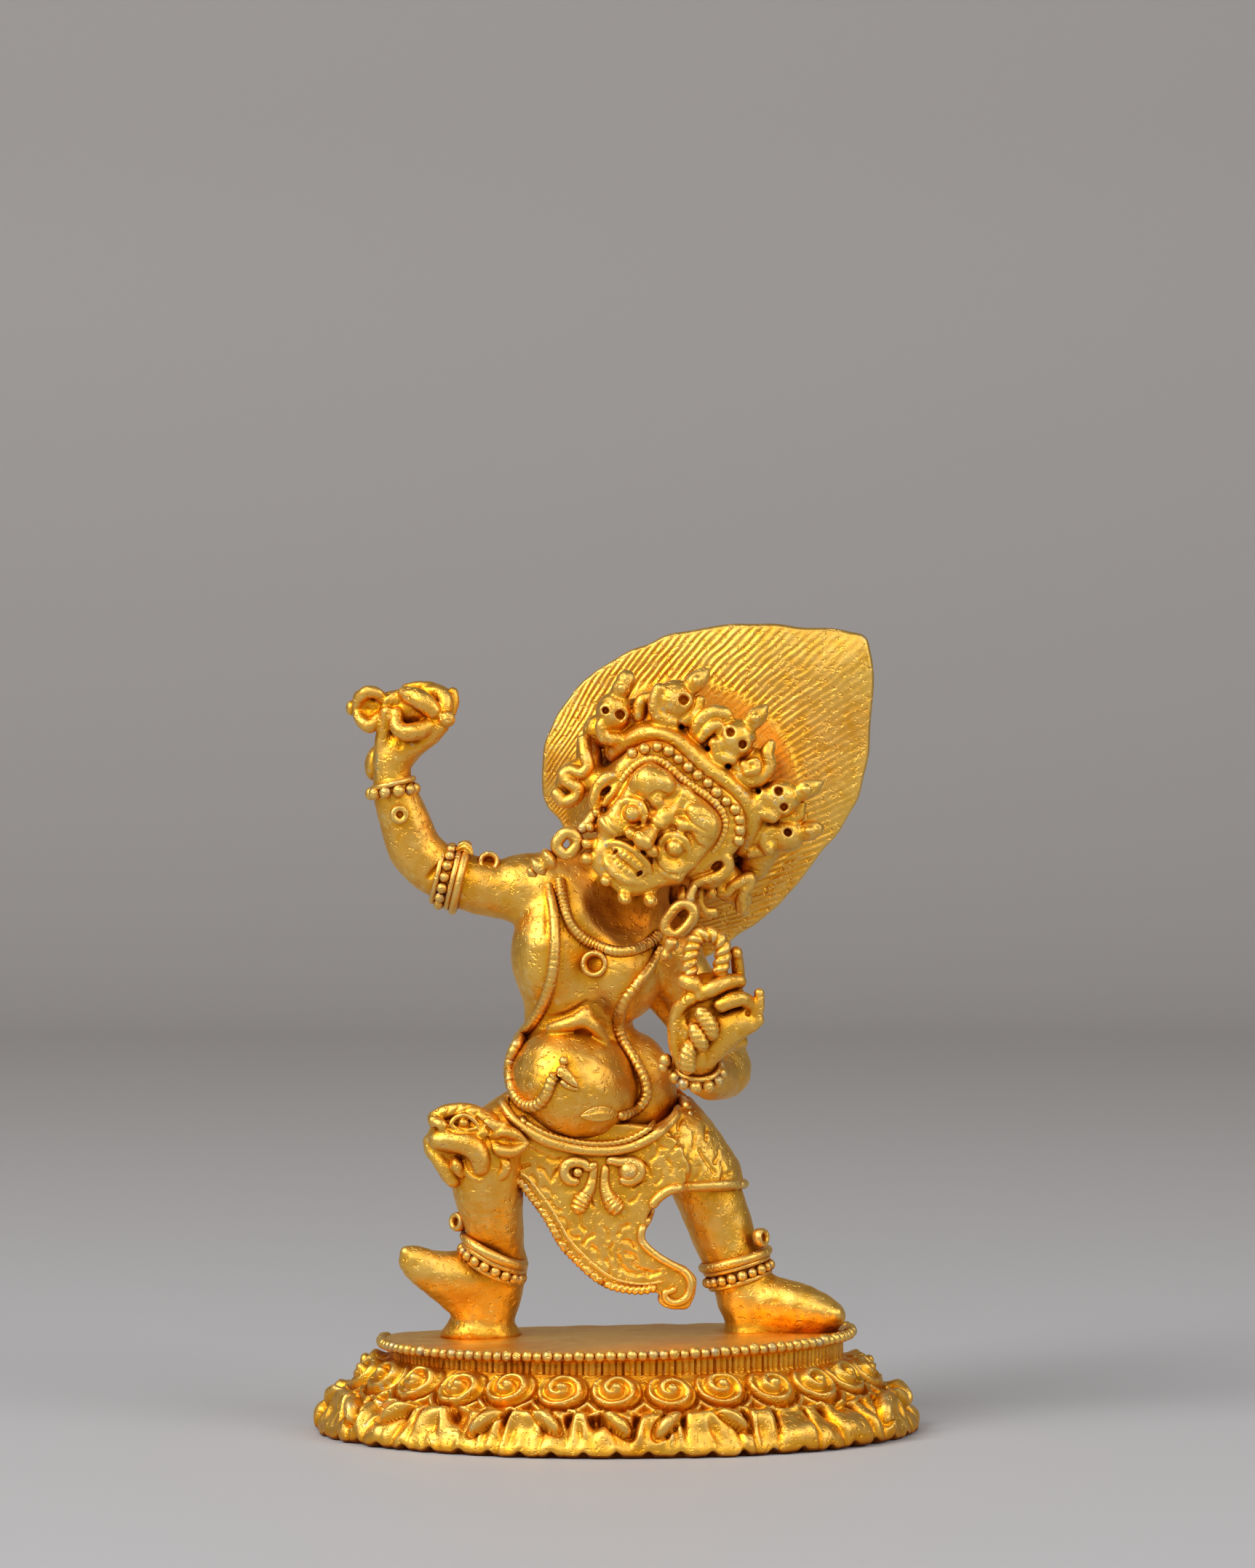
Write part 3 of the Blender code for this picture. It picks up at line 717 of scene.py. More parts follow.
def groove(clay, stations, radius=0.14, sink=0.05, blend=0.1):
    """A cut along (x, z) stations on the front of the skin, its round bottom sink mm below it."""
    line = laid(clay, stations, 4, lift=radius * 0.6 - sink)
    clay.cut([link((*a, radius), (*b, radius), 1.0) for a, b in zip(line, line[1:])], blend)


@functools.lru_cache(maxsize=None)
def trunk():
    """Chest, waist, belly and neck with both arms as far as the wrists, run together softly."""
    clay = Clay((-19.6, -9.2, 11.5), (11.2, 5.6, 41.6), 0.15)
    clay.rod([(-1.6, 0.6, 13, 4.5), (-2.3, 0.6, 18, 4.4), (-2.7, 0.6, 22, 3.9), (-2.7, 0.5, 25.5, 4.1),
              (-2.3, 0.4, 29.5, 4.0)], 0.6, flat=0.9)
    clay.lump((0.4, 0.5, 15.8), (4.0, 3.5, 3.8), 1.0)
    clay.lump((1.7, 0.3, 18.2), (2.5, 3.2, 3.6), 0.8, -14)
    clay.lump((-4.7, -0.9, 27.7), (2.9, 3.3, 4.1), 0.9, 4)
    clay.lump((0.2, -0.9, 26.2), (3.0, 3.3, 3.6), 0.7, -12)
    clay.lump((-2.6, 0.1, 30.4), (4.4, 3.2, 3.0), 1.0, 24)
    clay.rod([(-6.4, 0.4, 32.2, 2.35), (-2.0, 0.6, 31.5, 2.8), (3.6, 0.6, 27.6, 2.5)], 1.0)
    clay.rod([(-5.6, 0.4, 32.1, 2.4), (-8.4, 0.2, 32.1, 2.12), (-10.8, 0, 32.6, 2.02),
              (-12.9, 0, 33.5, 1.95), (-14.5, -0.2, 35.0, 1.93), (-15.3, -0.5, 37.2, 1.8),
              (-15.9, -0.8, 38.8, 1.58), (-16.1, -1, 39.8, 1.42)], 0.9)
    clay.rod([(3.4, 0.6, 27.4, 2.4), (5.4, 0.9, 24.6, 2.15), (6.9, 0.9, 21.6, 2.0), (7.75, 0.3, 19.4, 1.9)],
             0.6)
    clay.rod([(2.4, 1.2, 25.0, 1.2), (3.6, 1.2, 23.6, 1.0), (4.9, 1.1, 21.9, 0.9)], 0.6, flat=0.8)
    clay.lump((7.65, -0.5, 19.0), (1.98, 2.3, 1.95), 0.6)
    clay.rod([(7.6, -0.4, 18.9, 1.8), (6.9, -3.0, 18.7, 1.65), (5.9, -5.2, 19.4, 1.45),
              (5.6, -6.6, 20.6, 1.4)], 0.5)
    clay.rod([(0.4, 0.4, 29.8, 3.3), (1.0, -0.4, 32.6, 2.9), (1.9, -1.8, 35.6, 2.7)], 0.9)
    clay.pit((0.6, -4.4, 31.2), (3.1, 3.1, 2.7), 0.5, 30)
    clay.lump((-3.0, -1.75, 18.0), (4.75, 4.6, 4.3), 0.22, 28)
    clay.rod([(-4.7, -3.3, 22.25, 0.4), (-3.7, -3.75, 22.5, 0.52), (-2.7, -4.0, 22.85, 0.58),
              (-2.15, -4.0, 23.35, 0.5)], 0.3)
    clay.rod([(-2.5, -4.0, 22.9, 0.46), (-1.8, -4.0, 22.6, 0.54), (-1.25, -3.8, 22.05, 0.46),
              (-0.75, -3.5, 21.4, 0.3)], 0.3)
    groove(clay, [(-5.1, 22.9), (-4.2, 23.05), (-3.2, 23.4), (-2.15, 24.1)], 0.2)
    groove(clay, [(-2.15, 24.0), (-1.5, 23.15), (-0.9, 22.65), (-0.4, 22.3)], 0.16)
    groove(clay, [(-13.6, 32.9), (-12.9, 33.7), (-12.3, 34.4)], 0.2, 0.1)
    groove(clay, [(-8.6, 30.05), (-8.1, 29.9)], 0.1)
    groove(clay, [(-5.2, 32.4), (-5.0, 30.6), (-5.0, 29.0)], 0.1)
    hammered(clay)
    return clay


# Garland, necklace and belt

def scaled(line, radius, pitch=0.42, depth=0.16, sides=12):
    """A cord with worn scales: its radius follows a sine along the run, crossed with the turn."""
    run = run_along(line)
    angle = turns_of(sides)
    wave = np.cos(2 * math.pi * run[:, None] / pitch + 1.4 * np.cos(angle))
    wear = 0.6 + 0.4 * noise(run[:, None], size=3.0, seed=31)
    return np.asarray(radius).reshape(-1, 1) * (1 + depth * wear * wave)


def rope(line, radius, strands, lay, depth, sides):
    """A laid rope: the radius is a sine of the turn that winds along the run, one full turn each lay."""
    run = run_along(line)
    angle = turns_of(sides)
    wind = np.abs(np.cos((strands * angle[None, :] - strands * 2 * math.pi * run[:, None] / lay) / 2))
    return cord(line, radius * (1 - depth + 1.35 * depth * wind), TO_VIEWER, sides)


def tapered(count, stations):
    """Radii for a line of count points, through evenly spaced stations."""
    return np.interp(np.linspace(0, 1, count), np.linspace(0, 1, len(stations)), stations)


def strand(line, stations, sides):
    """A cord that faces the viewer, with its radius eased through evenly spaced stations."""
    return cord(line, tapered(len(line), stations), TO_VIEWER, sides)


def turned_piece(centre, axis, profile, sides=22):
    """A small turned form: rings of (radius, height along the axis), closed at both ends."""
    profile = np.asarray(profile, float)
    axis = np.asarray(axis, float) / np.linalg.norm(axis)
    aside = np.cross(axis, (0.3, 0.1, 1.0))
    aside /= np.linalg.norm(aside)
    other = np.cross(axis, aside)
    angle = turns_of(sides)
    around = np.cos(angle)[:, None] * aside + np.sin(angle)[:, None] * other
    rings = (np.asarray(centre, float) + profile[:, 0, None, None] * around
             + profile[:, 1, None, None] * axis)
    return capped_grid(rings)


def setting(centre, axis, radius, hole=0.5):
    """An empty ring setting: a foot, a rounded rim and a drilled hollow."""
    profile = [(1.02, -0.6), (1.04, -0.1), (1.0, 0.18), (0.9, 0.36), (0.78, 0.4), (hole + 0.12, 0.33),
               (hole, 0.18), (hole * 0.94, -0.05), (hole * 0.8, -0.28), (hole * 0.35, -0.36)]
    return turned_piece(centre, axis, np.array(profile) * radius)


SNAKE_LEFT = [(-4.75, 33.2), (-4.8, 32.4), (-4.45, 30.3), (-4.4, 27.8), (-4.65, 25.8), (-5.2, 24.1),
              (-6.0, 22.6), (-7.05, 21.2), (-7.65, 19.6), (-7.45, 17.9), (-6.75, 16.95), (-5.8, 16.85),
              (-5.05, 17.6), (-4.65, 18.6), (-4.25, 19.3)]
SNAKE_RIGHT = [(3.3, 28.2), (2.45, 26.7), (1.4, 25.3), (0.6, 24.2), (0.15, 22.7), (0.45, 21.3),
               (1.35, 19.9), (2.05, 18.5), (2.15, 17.4), (1.55, 16.5), (0.6, 16.1), (0.1, 16.2)]


def garland():
    """The snake that lies from the shoulders down both flanks, with its head on the belly and its tail
    ending in a leaf, and the ribbed necklace above it."""
    clay = trunk()
    left = laid(clay, SNAKE_LEFT, 14, lift=0.16)
    right = laid(clay, SNAKE_RIGHT, 14, lift=0.14)
    left[:, 1] += np.clip((left[:, 2] - 31.5) * 0.5, 0, 1)
    shapes = []
    for line, widths in ((left, [0.34, 0.4, 0.44, 0.44, 0.44, 0.42, 0.4]),
                         (right, [0.34, 0.38, 0.42, 0.42, 0.42, 0.4, 0.3])):
        shapes.append(cord(line, scaled(line, tapered(len(line), widths)), TO_VIEWER, 12))
    face = laid(clay, [(-4.25, 19.2), (-3.85, 19.35), (-3.45, 19.0), (-3.1, 18.65), (-2.65, 18.25)], 6,
                lift=0.3)
    shapes.append(strand(face, [0.36, 0.44, 0.42, 0.3, 0.12], 12))
    jaw = laid(clay, [(-3.95, 18.75), (-3.55, 18.4), (-3.1, 18.2), (-2.65, 18.05)], 6, lift=0.1)
    shapes.append(strand(jaw, [0.26, 0.24, 0.18, 0.1], 10))
    knob = laid(clay, [(-3.8, 19.6), (-3.75, 20.1)], 4, lift=0.35)
    shapes.append(beads(knob[[0, -1]], [0.28, 0.34], 12, 7))
    shapes.append(setting(laid(clay, [(-3.95, 19.25), (-3.9, 19.2)], 2, lift=0.62)[0], (0, -1, 0.1), 0.26,
                          0.4))
    shapes.append(leaf(laid(clay, [(-2.55, 16.15), (-1.15, 16.3), (0.2, 16.2)], 10, lift=0.05), 0.62, 0.34))
    neck = laid(clay, [(-4.1, 33.1), (-3.8, 31.4), (-3.3, 29.8), (-2.3, 28.7), (-1.0, 28.05), (0.3, 27.8),
                       (1.6, 28.0), (2.6, 28.5), (3.2, 29.1)], 24, lift=0.12)
    run = run_along(neck)
    ribs = 0.4 * (1 + 0.13 * np.cos(2 * math.pi * run / 0.3) * (0.6 + 0.4 * np.sin(run * 1.3)))
    shapes.append(cord(neck, ribs, TO_VIEWER, 12))
    chest = laid(clay, [(-1.57, 26.9), (-1.5, 26.9)], 2, lift=0.22)[0]
    shapes.append(setting(chest, (-0.1, -1, 0.05), 1.0, 0.55))
    return gathered(shapes)


def leaf(line, half, thick, tip=0.12):
    """A leaf on a line: its half width swells as a sine from tip to tip, with a raised rim and vein."""
    line = np.asarray(line)
    share = np.linspace(0, 1, len(line))
    swell = np.maximum(np.sin(math.pi * share) ** 0.8, tip)
    across = np.linspace(-1, 1, 13)
    way = np.gradient(line, axis=0)
    way /= np.linalg.norm(way, axis=1, keepdims=True)
    aside = np.cross(way, TO_VIEWER)
    aside /= np.linalg.norm(aside, axis=1, keepdims=True)
    top = thick * (0.55 + 0.3 * bump(np.abs(across) - 0.86, 0.12)
                   + 0.25 * bump(across, 0.14)) * (1 - across ** 6)
    front = line[:, None] + (swell[:, None] * half * across)[..., None] * aside[:, None]
    front[..., 1] -= (swell[:, None] ** 0.5) * top
    back = front[:, ::-1].copy()
    back[..., 1] = line[:, None, 1] + 0.25 * thick
    return capped_grid(np.concatenate([front, back[:, 1:-1]], axis=1))


def belt():
    """The belt below the belly: a thin laid rope against the skin and a plain band under it."""
    clay = hips()
    band = [(-8.35, 17.1), (-7.3, 15.75), (-5.6, 14.55), (-3.6, 13.85), (-1.4, 13.55), (0.8, 13.75),
            (2.6, 14.55), (3.9, 15.6), (4.5, 16.4)]
    inner = [(-7.75, 17.3), (-6.9, 16.0), (-5.4, 14.95), (-3.6, 14.35), (-1.4, 14.05), (0.7, 14.3),
             (2.2, 15.05), (3.3, 16.0), (4.2, 16.7)]
    lower = laid(clay, band, 10, lift=0.05)
    upper = laid(clay, inner, 16, lift=0.12)
    shapes = [strand(lower, [0.34, 0.4, 0.42, 0.42, 0.4, 0.38, 0.32], 12),
              rope(upper, 0.24, 2, 0.8, 0.24, 12)]
    wound = laid(clay, [(-7.75, 17.35), (-7.15, 16.3), (-6.5, 15.55)], 16, lift=0.24)
    run = run_along(wound)
    shapes.append(cord(wound, 0.34 * (1 + 0.16 * np.cos(2 * math.pi * run / 0.26)), TO_VIEWER, 12))
    knot = laid(clay, [(4.2, 16.75), (4.75, 16.75), (5.25, 16.4)], 5, lift=0.2)
    shapes.append(cord(knot, 0.42, TO_VIEWER, 10))
    shapes.append(rope(knot + (0.15, -0.2, -0.5), 0.26, 2, 0.7, 0.25, 10))
    shapes.append(beads([(knot[2][0], knot[2][1] - 0.1, knot[2][2] + 0.1)], 0.42, 12, 7))
    return gathered(shapes)


# The legs, the tiger skin and its head

def flat_form(outline, y, half, steps=6, edge=0.25):
    """A flat form with an outline of (x, z) stations: the distance to the outline in the view, joined
    to the distance from the middle depth y, with its edge rounded by a circle of radius edge."""
    line = smooth_line(outline, steps, closed=True)
    after = np.roll(line, -1, axis=0)
    low = np.array([line[:, 0].min(), y - half, line[:, 1].min()])
    high = np.array([line[:, 0].max(), y + half, line[:, 1].max()])

    def distance(x, y_at, z):
        px, pz = x[:, 0, 0][:, None], z[0, 0, :][None, :]
        nearest = np.full((px.size, pz.size), FAR, np.float32)
        inside = np.zeros((px.size, pz.size), bool)
        for (ax, az), (bx, bz) in zip(line.tolist(), after.tolist()):
            wx, wz = bx - ax, bz - az
            along = np.clip(((px - ax) * wx + (pz - az) * wz) / max(wx * wx + wz * wz, 1e-9), 0, 1)
            nearest = np.minimum(nearest, np.hypot(px - ax - along * wx, pz - az - along * wz))
            if az != bz:
                side = (px < ax + (pz - az) * wx / wz) & ((az > pz) != (bz > pz))
                inside ^= side
        flat = np.where(inside, -nearest, nearest)[:, None, :] + edge
        deep = np.abs(y_at - y) - half + edge
        return np.minimum(np.maximum(flat, deep), 0) + np.hypot(np.maximum(flat, 0),
                                                                np.maximum(deep, 0)) - edge

    return [(low, high, distance)]


HANGING = [(-7.2, 15.0), (-8.0, 12.6), (-7.75, 11.4), (-6.9, 11.05), (-6.2, 10.35), (-5.4, 9.4),
           (-4.7, 8.2), (-4.0, 6.95), (-3.0, 5.8), (-1.9, 4.75), (-0.8, 4.0), (0.5, 3.5), (1.8, 3.3),
           (2.95, 3.3), (3.0, 2.75), (3.45, 2.3), (4.3, 2.15), (5.05, 2.2), (5.5, 2.85), (5.75, 3.9),
           (5.6, 4.5), (5.05, 5.1), (3.9, 5.65), (2.9, 6.15), (2.2, 6.9), (2.0, 7.7), (2.2, 8.7),
           (2.75, 9.6), (3.6, 10.2), (4.6, 10.8), (5.2, 12.5), (3.4, 15.0), (-2.0, 15.6)]

HEM = [(2.45, 9.45), (2.95, 10.1), (3.6, 10.6), (4.4, 10.85), (5.6, 10.9), (6.9, 10.95), (8.2, 10.95),
       (8.9, 10.8)]

STRIPES = [(-5.6, 13.5, 160), (-6.7, 12.4, 30), (-5.2, 12.0, 150), (-5.9, 11.3, 130), (-4.9, 10.6, 120),
           (-4.4, 11.8, 40), (-4.3, 9.6, 115), (-3.7, 8.4, 120), (-3.1, 7.6, 125), (-2.4, 8.3, 100),
           (-2.0, 7.2, 60), (-1.5, 6.2, 140), (-0.7, 7.6, 95), (-0.3, 6.4, 110), (0.5, 7.9, 20),
           (0.9, 6.9, 150), (0.2, 5.5, 120), (1.1, 5.9, 170), (0.9, 5.0, 140), (1.6, 5.2, 165),
           (1.9, 4.6, 20), (2.6, 4.9, 160), (-0.6, 5.2, 100), (2.7, 13.3, 60), (2.2, 12.2, 130),
           (3.0, 11.6, 80), (3.8, 12.4, 110), (1.6, 11.2, 45), (1.3, 10.2, 60), (4.3, 13.8, 40),
           (4.1, 14.7, 150), (5.1, 13.2, 100), (5.0, 12.0, 125), (5.6, 14.2, 60), (6.2, 13.1, 95),
           (5.8, 11.9, 50), (6.8, 12.2, 100), (7.2, 13.0, 80), (6.5, 14.6, 60), (7.6, 12.0, 115),
           (3.2, 14.0, 120), (-1.9, 10.0, 95), (-4.4, 13.0, 20), (4.6, 15.4, 70), (7.9, 11.5, 60)]


@functools.lru_cache(maxsize=None)
def hips():
    """The tiger skin round the hips and the right thigh, with its long end hanging between the legs
    and short curved strokes cut in it for the stripes."""
    clay = Clay((-9.6, -7.2, 1.6), (10.1, 5.2, 18.4), 0.11)
    clay.rod([(-3.2, 0.2, 15.2, 4.4), (-5.6, -1.2, 14.9, 3.5), (-8.0, -2.2, 14.6, 2.5)], 0.6)
    clay.rod([(-1.6, 0.3, 15.3, 4.6), (1.6, 0.2, 14.7, 4.2), (3.9, 0.0, 13.0, 3.75), (5.7, 0.0, 11.0, 3.3)],
             0.8)
    clay.rod([(3.7, 0.0, 13.4, 3.4), (6.0, 0.0, 11.0, 3.05)], 0.5)
    clay.lump((-1.2, 0.9, 13.6), (5.6, 3.9, 3.4), 0.8)
    clay.cut([(np.array([-9.0, -9.0, -1.0]), np.array([11.0, 9.0, 10.8]),
               lambda x, y, z: z - 10.55 + 0.02 * np.abs(y))], 0.25)
    clay.cut([(np.array([-7.0, -9.0, 13.5]), np.array([4.6, 0.5, 19.0]),
               lambda x, y, z: (14.15 + 0.062 * (x + 1.5) ** 2 - z) * 0.85)], 0.3)
    clay.add(flat_form(HANGING, -3.75, 0.62), 0.5)
    clay.rod([(4.4, -2.9, 3.9, 0.75), (4.1, -3.1, 3.1, 0.6), (3.6, -3.4, 2.8, 0.5)], 0.25)
    for x, z, lean in STRIPES:
        run = math.radians(lean + 25 * math.sin(x * 5 + z * 3))
        dx, dz = 0.48 * math.cos(run), 0.48 * math.sin(run)
        bend = 0.2 * math.sin(x * 7 + z)
        stroke = [(x - dx, z - dz), (x + bend * math.sin(run), z - bend * math.cos(run)), (x + dx, z + dz)]
        groove(clay, stroke, 0.12, 0.09, 0.14)
    hammered(clay, 0.022, 1.2, 24)
    return clay


@functools.lru_cache(maxsize=None)
def bent_leg():
    """The leg that bends and carries the tiger's head, with the foot lifted on its heel."""
    clay = Clay((-16.9, -7.6, -0.5), (-5.4, 3.2, 15.2), 0.13)
    clay.rod([(-9.3, -3.3, 13.4, 2.6), (-9.25, -3.2, 11.3, 2.58), (-8.95, -2.6, 8.9, 2.25),
              (-8.6, -1.8, 6.9, 1.95), (-8.4, -1.1, 5.2, 1.85)], 0.4)
    clay.rod([(-8.4, -0.9, 4.8, 1.85), (-8.7, -0.5, 3.4, 2.0), (-9.1, -0.2, 2.3, 2.0)], 0.7)
    clay.rod([(-9.2, -0.8, 3.9, 2.1), (-10.9, -1.6, 4.2, 1.95), (-12.5, -2.3, 4.45, 1.7),
              (-13.8, -2.8, 5.0, 1.35), (-14.5, -3.0, 5.5, 1.1)], 0.6, flat=0.92)
    clay.rod([(-9.6, -0.2, 2.4, 2.1), (-11.3, -1.0, 3.0, 1.6), (-12.6, -1.7, 3.7, 1.2)], 0.5)
    for toe, (x, y, z) in enumerate([(-15.0, -3.3, 6.1), (-15.05, -3.0, 5.4), (-14.8, -2.7, 4.75),
                                     (-14.4, -2.3, 4.15), (-13.9, -1.9, 3.65)]):
        clay.rod([(x + 1.4, y + 0.3, z - 0.3, 0.6 - 0.04 * toe), (x, y, z, 0.54 - 0.04 * toe)], 0.22)
    clay.rod([(-9.4, 0.0, 2.6, 2.1), (-9.7, 0.0, 1.2, 2.2), (-9.8, 0.0, 0.2, 2.3)], 0.6)
    clay.lump((-9.8, 0.1, -0.1), (2.9, 2.3, 0.8), 0.9)
    clay.furrow([(-12.9, -4.0, 3.3, 0.1), (-12.0, -3.7, 3.0, 0.16), (-11.0, -3.3, 2.9, 0.1)], 0.2)
    hammered(clay, 0.03, 1.6, 26)
    return clay


@functools.lru_cache(maxsize=None)
def straight_leg():
    """The straight leg below the hem, with its foot turned out and flat on the plate."""
    clay = Clay((3.2, -6.6, -0.6), (18.0, 4.4, 12.8), 0.14)
    clay.rod([(5.9, 0.0, 12.0, 2.6), (6.7, 0, 9.9, 2.42), (7.3, 0, 8.3, 2.35), (7.95, 0, 6.5, 2.2),
              (8.75, 0, 4.7, 2.15), (9.3, 0, 2.9, 2.05)], 0.5)
    clay.rod([(9.5, 0.1, 2.3, 2.0), (9.8, 0.1, 1.0, 2.0), (10.0, 0.1, -0.1, 2.1)], 0.6)
    clay.rod([(9.7, -0.1, 2.5, 1.95), (11.5, -0.9, 2.35, 1.8), (13.3, -1.6, 2.1, 1.6),
              (14.6, -2.1, 1.75, 1.35), (15.3, -2.3, 1.55, 1.1)], 0.6)
    clay.rod([(10.2, 0.2, 0.7, 1.9), (12.6, -0.6, 0.6, 1.8), (14.6, -1.3, 0.5, 1.4)], 0.6)
    for toe, (x, y, z) in enumerate([(15.75, -3.1, 1.75), (15.95, -2.5, 1.5), (15.85, -1.9, 1.2),
                                     (15.5, -1.3, 0.95), (15.1, -0.7, 0.75)]):
        clay.rod([(x - 1.4, y + 0.3, z + 0.2, 0.5), (x, y, z, 0.52 - 0.03 * toe)], 0.3)
    clay.lump((9.9, 0.0, -0.3), (2.6, 2.2, 0.65), 0.7)
    clay.cut([(np.array([0.0, -9.0, -2.0]), np.array([20.0, 9.0, -0.2]), lambda x, y, z: z + 0.25)], 0.05)
    hammered(clay, 0.03, 1.5, 28)
    return clay


@functools.lru_cache(maxsize=None)
def tiger_head():
    """The tiger's mask on the bent knee, in profile: muzzle to the left over a curled lip and a fang,
    an almond eye, a flame of mane over the brow and a leaf for the ear."""
    clay = Clay((-14.6, -8.2, 10.2), (-5.7, -0.6, 17.9), 0.08)
    clay.lump((-10.4, -3.7, 14.6), (2.75, 2.2, 2.1), 0.3)
    clay.lump((-12.2, -4.4, 14.6), (1.3, 1.4, 1.3), 0.5)
    clay.rod([(-9.4, -3.6, 13.4, 2.0), (-8.6, -3.4, 12.4, 2.0)], 0.6)
    clay.rod([(-7.6, -3.6, 14.2, 1.4), (-8.6, -3.8, 13.2, 1.6)], 0.4)
    clay.lump((-11.7, -4.1, 12.5), (1.2, 1.1, 1.7), 0.3, -20)
    clay.rod([(-12.9, -4.9, 15.9, 0.6), (-12.2, -5.0, 16.35, 0.56), (-11.2, -5.1, 16.5, 0.56),
              (-10.2, -5.2, 16.35, 0.58), (-9.4, -5.4, 15.9, 0.56), (-8.8, -5.6, 15.45, 0.5),
              (-8.2, -5.6, 15.4, 0.36), (-7.8, -5.4, 15.6, 0.14)], 0.12)
    clay.rod([(-12.95, -5.3, 15.75, 0.5), (-12.5, -5.7, 15.5, 0.46), (-12.25, -5.6, 15.1, 0.4)], 0.1)
    clay.pit((-12.9, -5.9, 15.2), (0.24, 0.6, 0.2), 0.08)
    clay.rod([(-12.65, -5.35, 14.4, 0.72), (-11.9, -5.5, 14.4, 0.82), (-10.9, -5.65, 14.25, 0.9),
              (-10.1, -5.75, 13.8, 0.86), (-9.7, -5.75, 13.1, 0.78), (-9.65, -5.7, 12.5, 0.66)], 0.16)
    clay.lump((-9.6, -5.2, 14.9), (1.0, 0.8, 0.6), 0.3, 10)
    clay.pit((-10.9, -6.2, 15.65), (0.8, 0.8, 0.5), 0.12, 14)
    eye = [(-11.75, 15.55), (-11.4, 16.05), (-10.75, 16.2), (-10.2, 15.9), (-9.85, 15.35), (-10.5, 15.15),
           (-11.2, 15.15)]
    clay.rod([(x, -5.75, z, 0.18) for x, z in eye], 0.06, closed=True)
    clay.lump((-10.9, -5.6, 15.65), (0.42, 0.44, 0.38), 0.04)
    for stations in ([(-12.2, 16.1), (-11.9, 16.75)], [(-11.5, 16.4), (-11.1, 16.95)],
                     [(-10.8, 16.5), (-10.4, 16.9)], [(-10.1, 16.2), (-9.7, 16.6)],
                     [(-9.5, 15.8), (-9.0, 16.1)]):
        groove(clay, stations, 0.08, 0.04, 0.08)
    groove(clay, [(-8.9, 15.0), (-9.35, 15.5), (-9.9, 16.0)], 0.12, 0.12, 0.08)
    groove(clay, [(-12.1, 15.3), (-11.6, 15.05), (-10.8, 14.95), (-9.9, 15.05)], 0.1, 0.08, 0.08)
    clay.rod([(-9.0, -5.3, 14.5, 0.36), (-8.3, -5.7, 15.0, 0.42), (-7.3, -5.6, 14.85, 0.4),
              (-6.35, -5.2, 14.15, 0.18)], 0.1)
    clay.rod([(-8.9, -5.4, 14.2, 0.34), (-8.4, -5.8, 13.75, 0.46), (-7.5, -5.75, 13.6, 0.46),
              (-6.8, -5.5, 13.85, 0.36), (-6.35, -5.2, 14.15, 0.16)], 0.1)
    clay.lump((-7.8, -5.2, 14.25), (1.2, 0.6, 0.7), 0.1)
    clay.pit((-7.5, -6.2, 14.3), (0.6, 0.6, 0.24), 0.1, 6)
    groove(clay, [(-9.2, 14.6), (-8.95, 13.9), (-8.6, 13.35), (-7.6, 13.0)], 0.12, 0.1, 0.08)
    clay.rod([(-8.2, -5.4, 13.1, 0.34), (-7.9, -5.5, 12.6, 0.44), (-8.1, -5.4, 12.0, 0.46),
              (-8.7, -5.3, 11.6, 0.36)], 0.12)
    clay.rod([(-10.85, -5.2, 12.9, 0.24), (-10.6, -5.4, 12.1, 0.28), (-9.8, -5.6, 11.6, 0.28),
              (-8.95, -5.4, 11.95, 0.28), (-8.65, -5.4, 12.8, 0.26), (-8.9, -5.5, 13.8, 0.24)], 0.08)
    clay.rod([(-13.35, -4.4, 14.2, 0.5), (-13.2, -4.5, 13.6, 0.52), (-12.7, -4.8, 13.0, 0.56),
              (-12.2, -4.9, 12.3, 0.6), (-11.7, -4.8, 11.5, 0.55)], 0.25)
    clay.furrow([(-12.6, -5.7, 13.45, 0.12), (-11.8, -5.9, 13.35, 0.17), (-11.1, -5.9, 13.1, 0.17),
                 (-10.9, -5.8, 12.5, 0.14)], 0.1)
    clay.rod([(-11.5, -5.1, 13.1, 0.3), (-11.35, -5.5, 12.6, 0.42), (-11.15, -5.4, 12.1, 0.36),
              (-11.0, -5.2, 11.7, 0.14)], 0.05)
    hammered(clay, 0.02, 1.1, 30)
    return clay


def bent_thigh():
    """The knee under the tiger's head, seen only from the sides and behind."""
    clay = Clay((-13.6, -6.8, 10.0), (-4.4, 4.2, 19.2), 0.16)
    clay.rod([(-5.0, -0.9, 15.0, 3.6), (-8.0, -2.3, 14.6, 2.4), (-10.2, -3.2, 14.3, 2.1)], 0.4)
    hammered(clay, 0.03, 1.5, 32)
    return clay


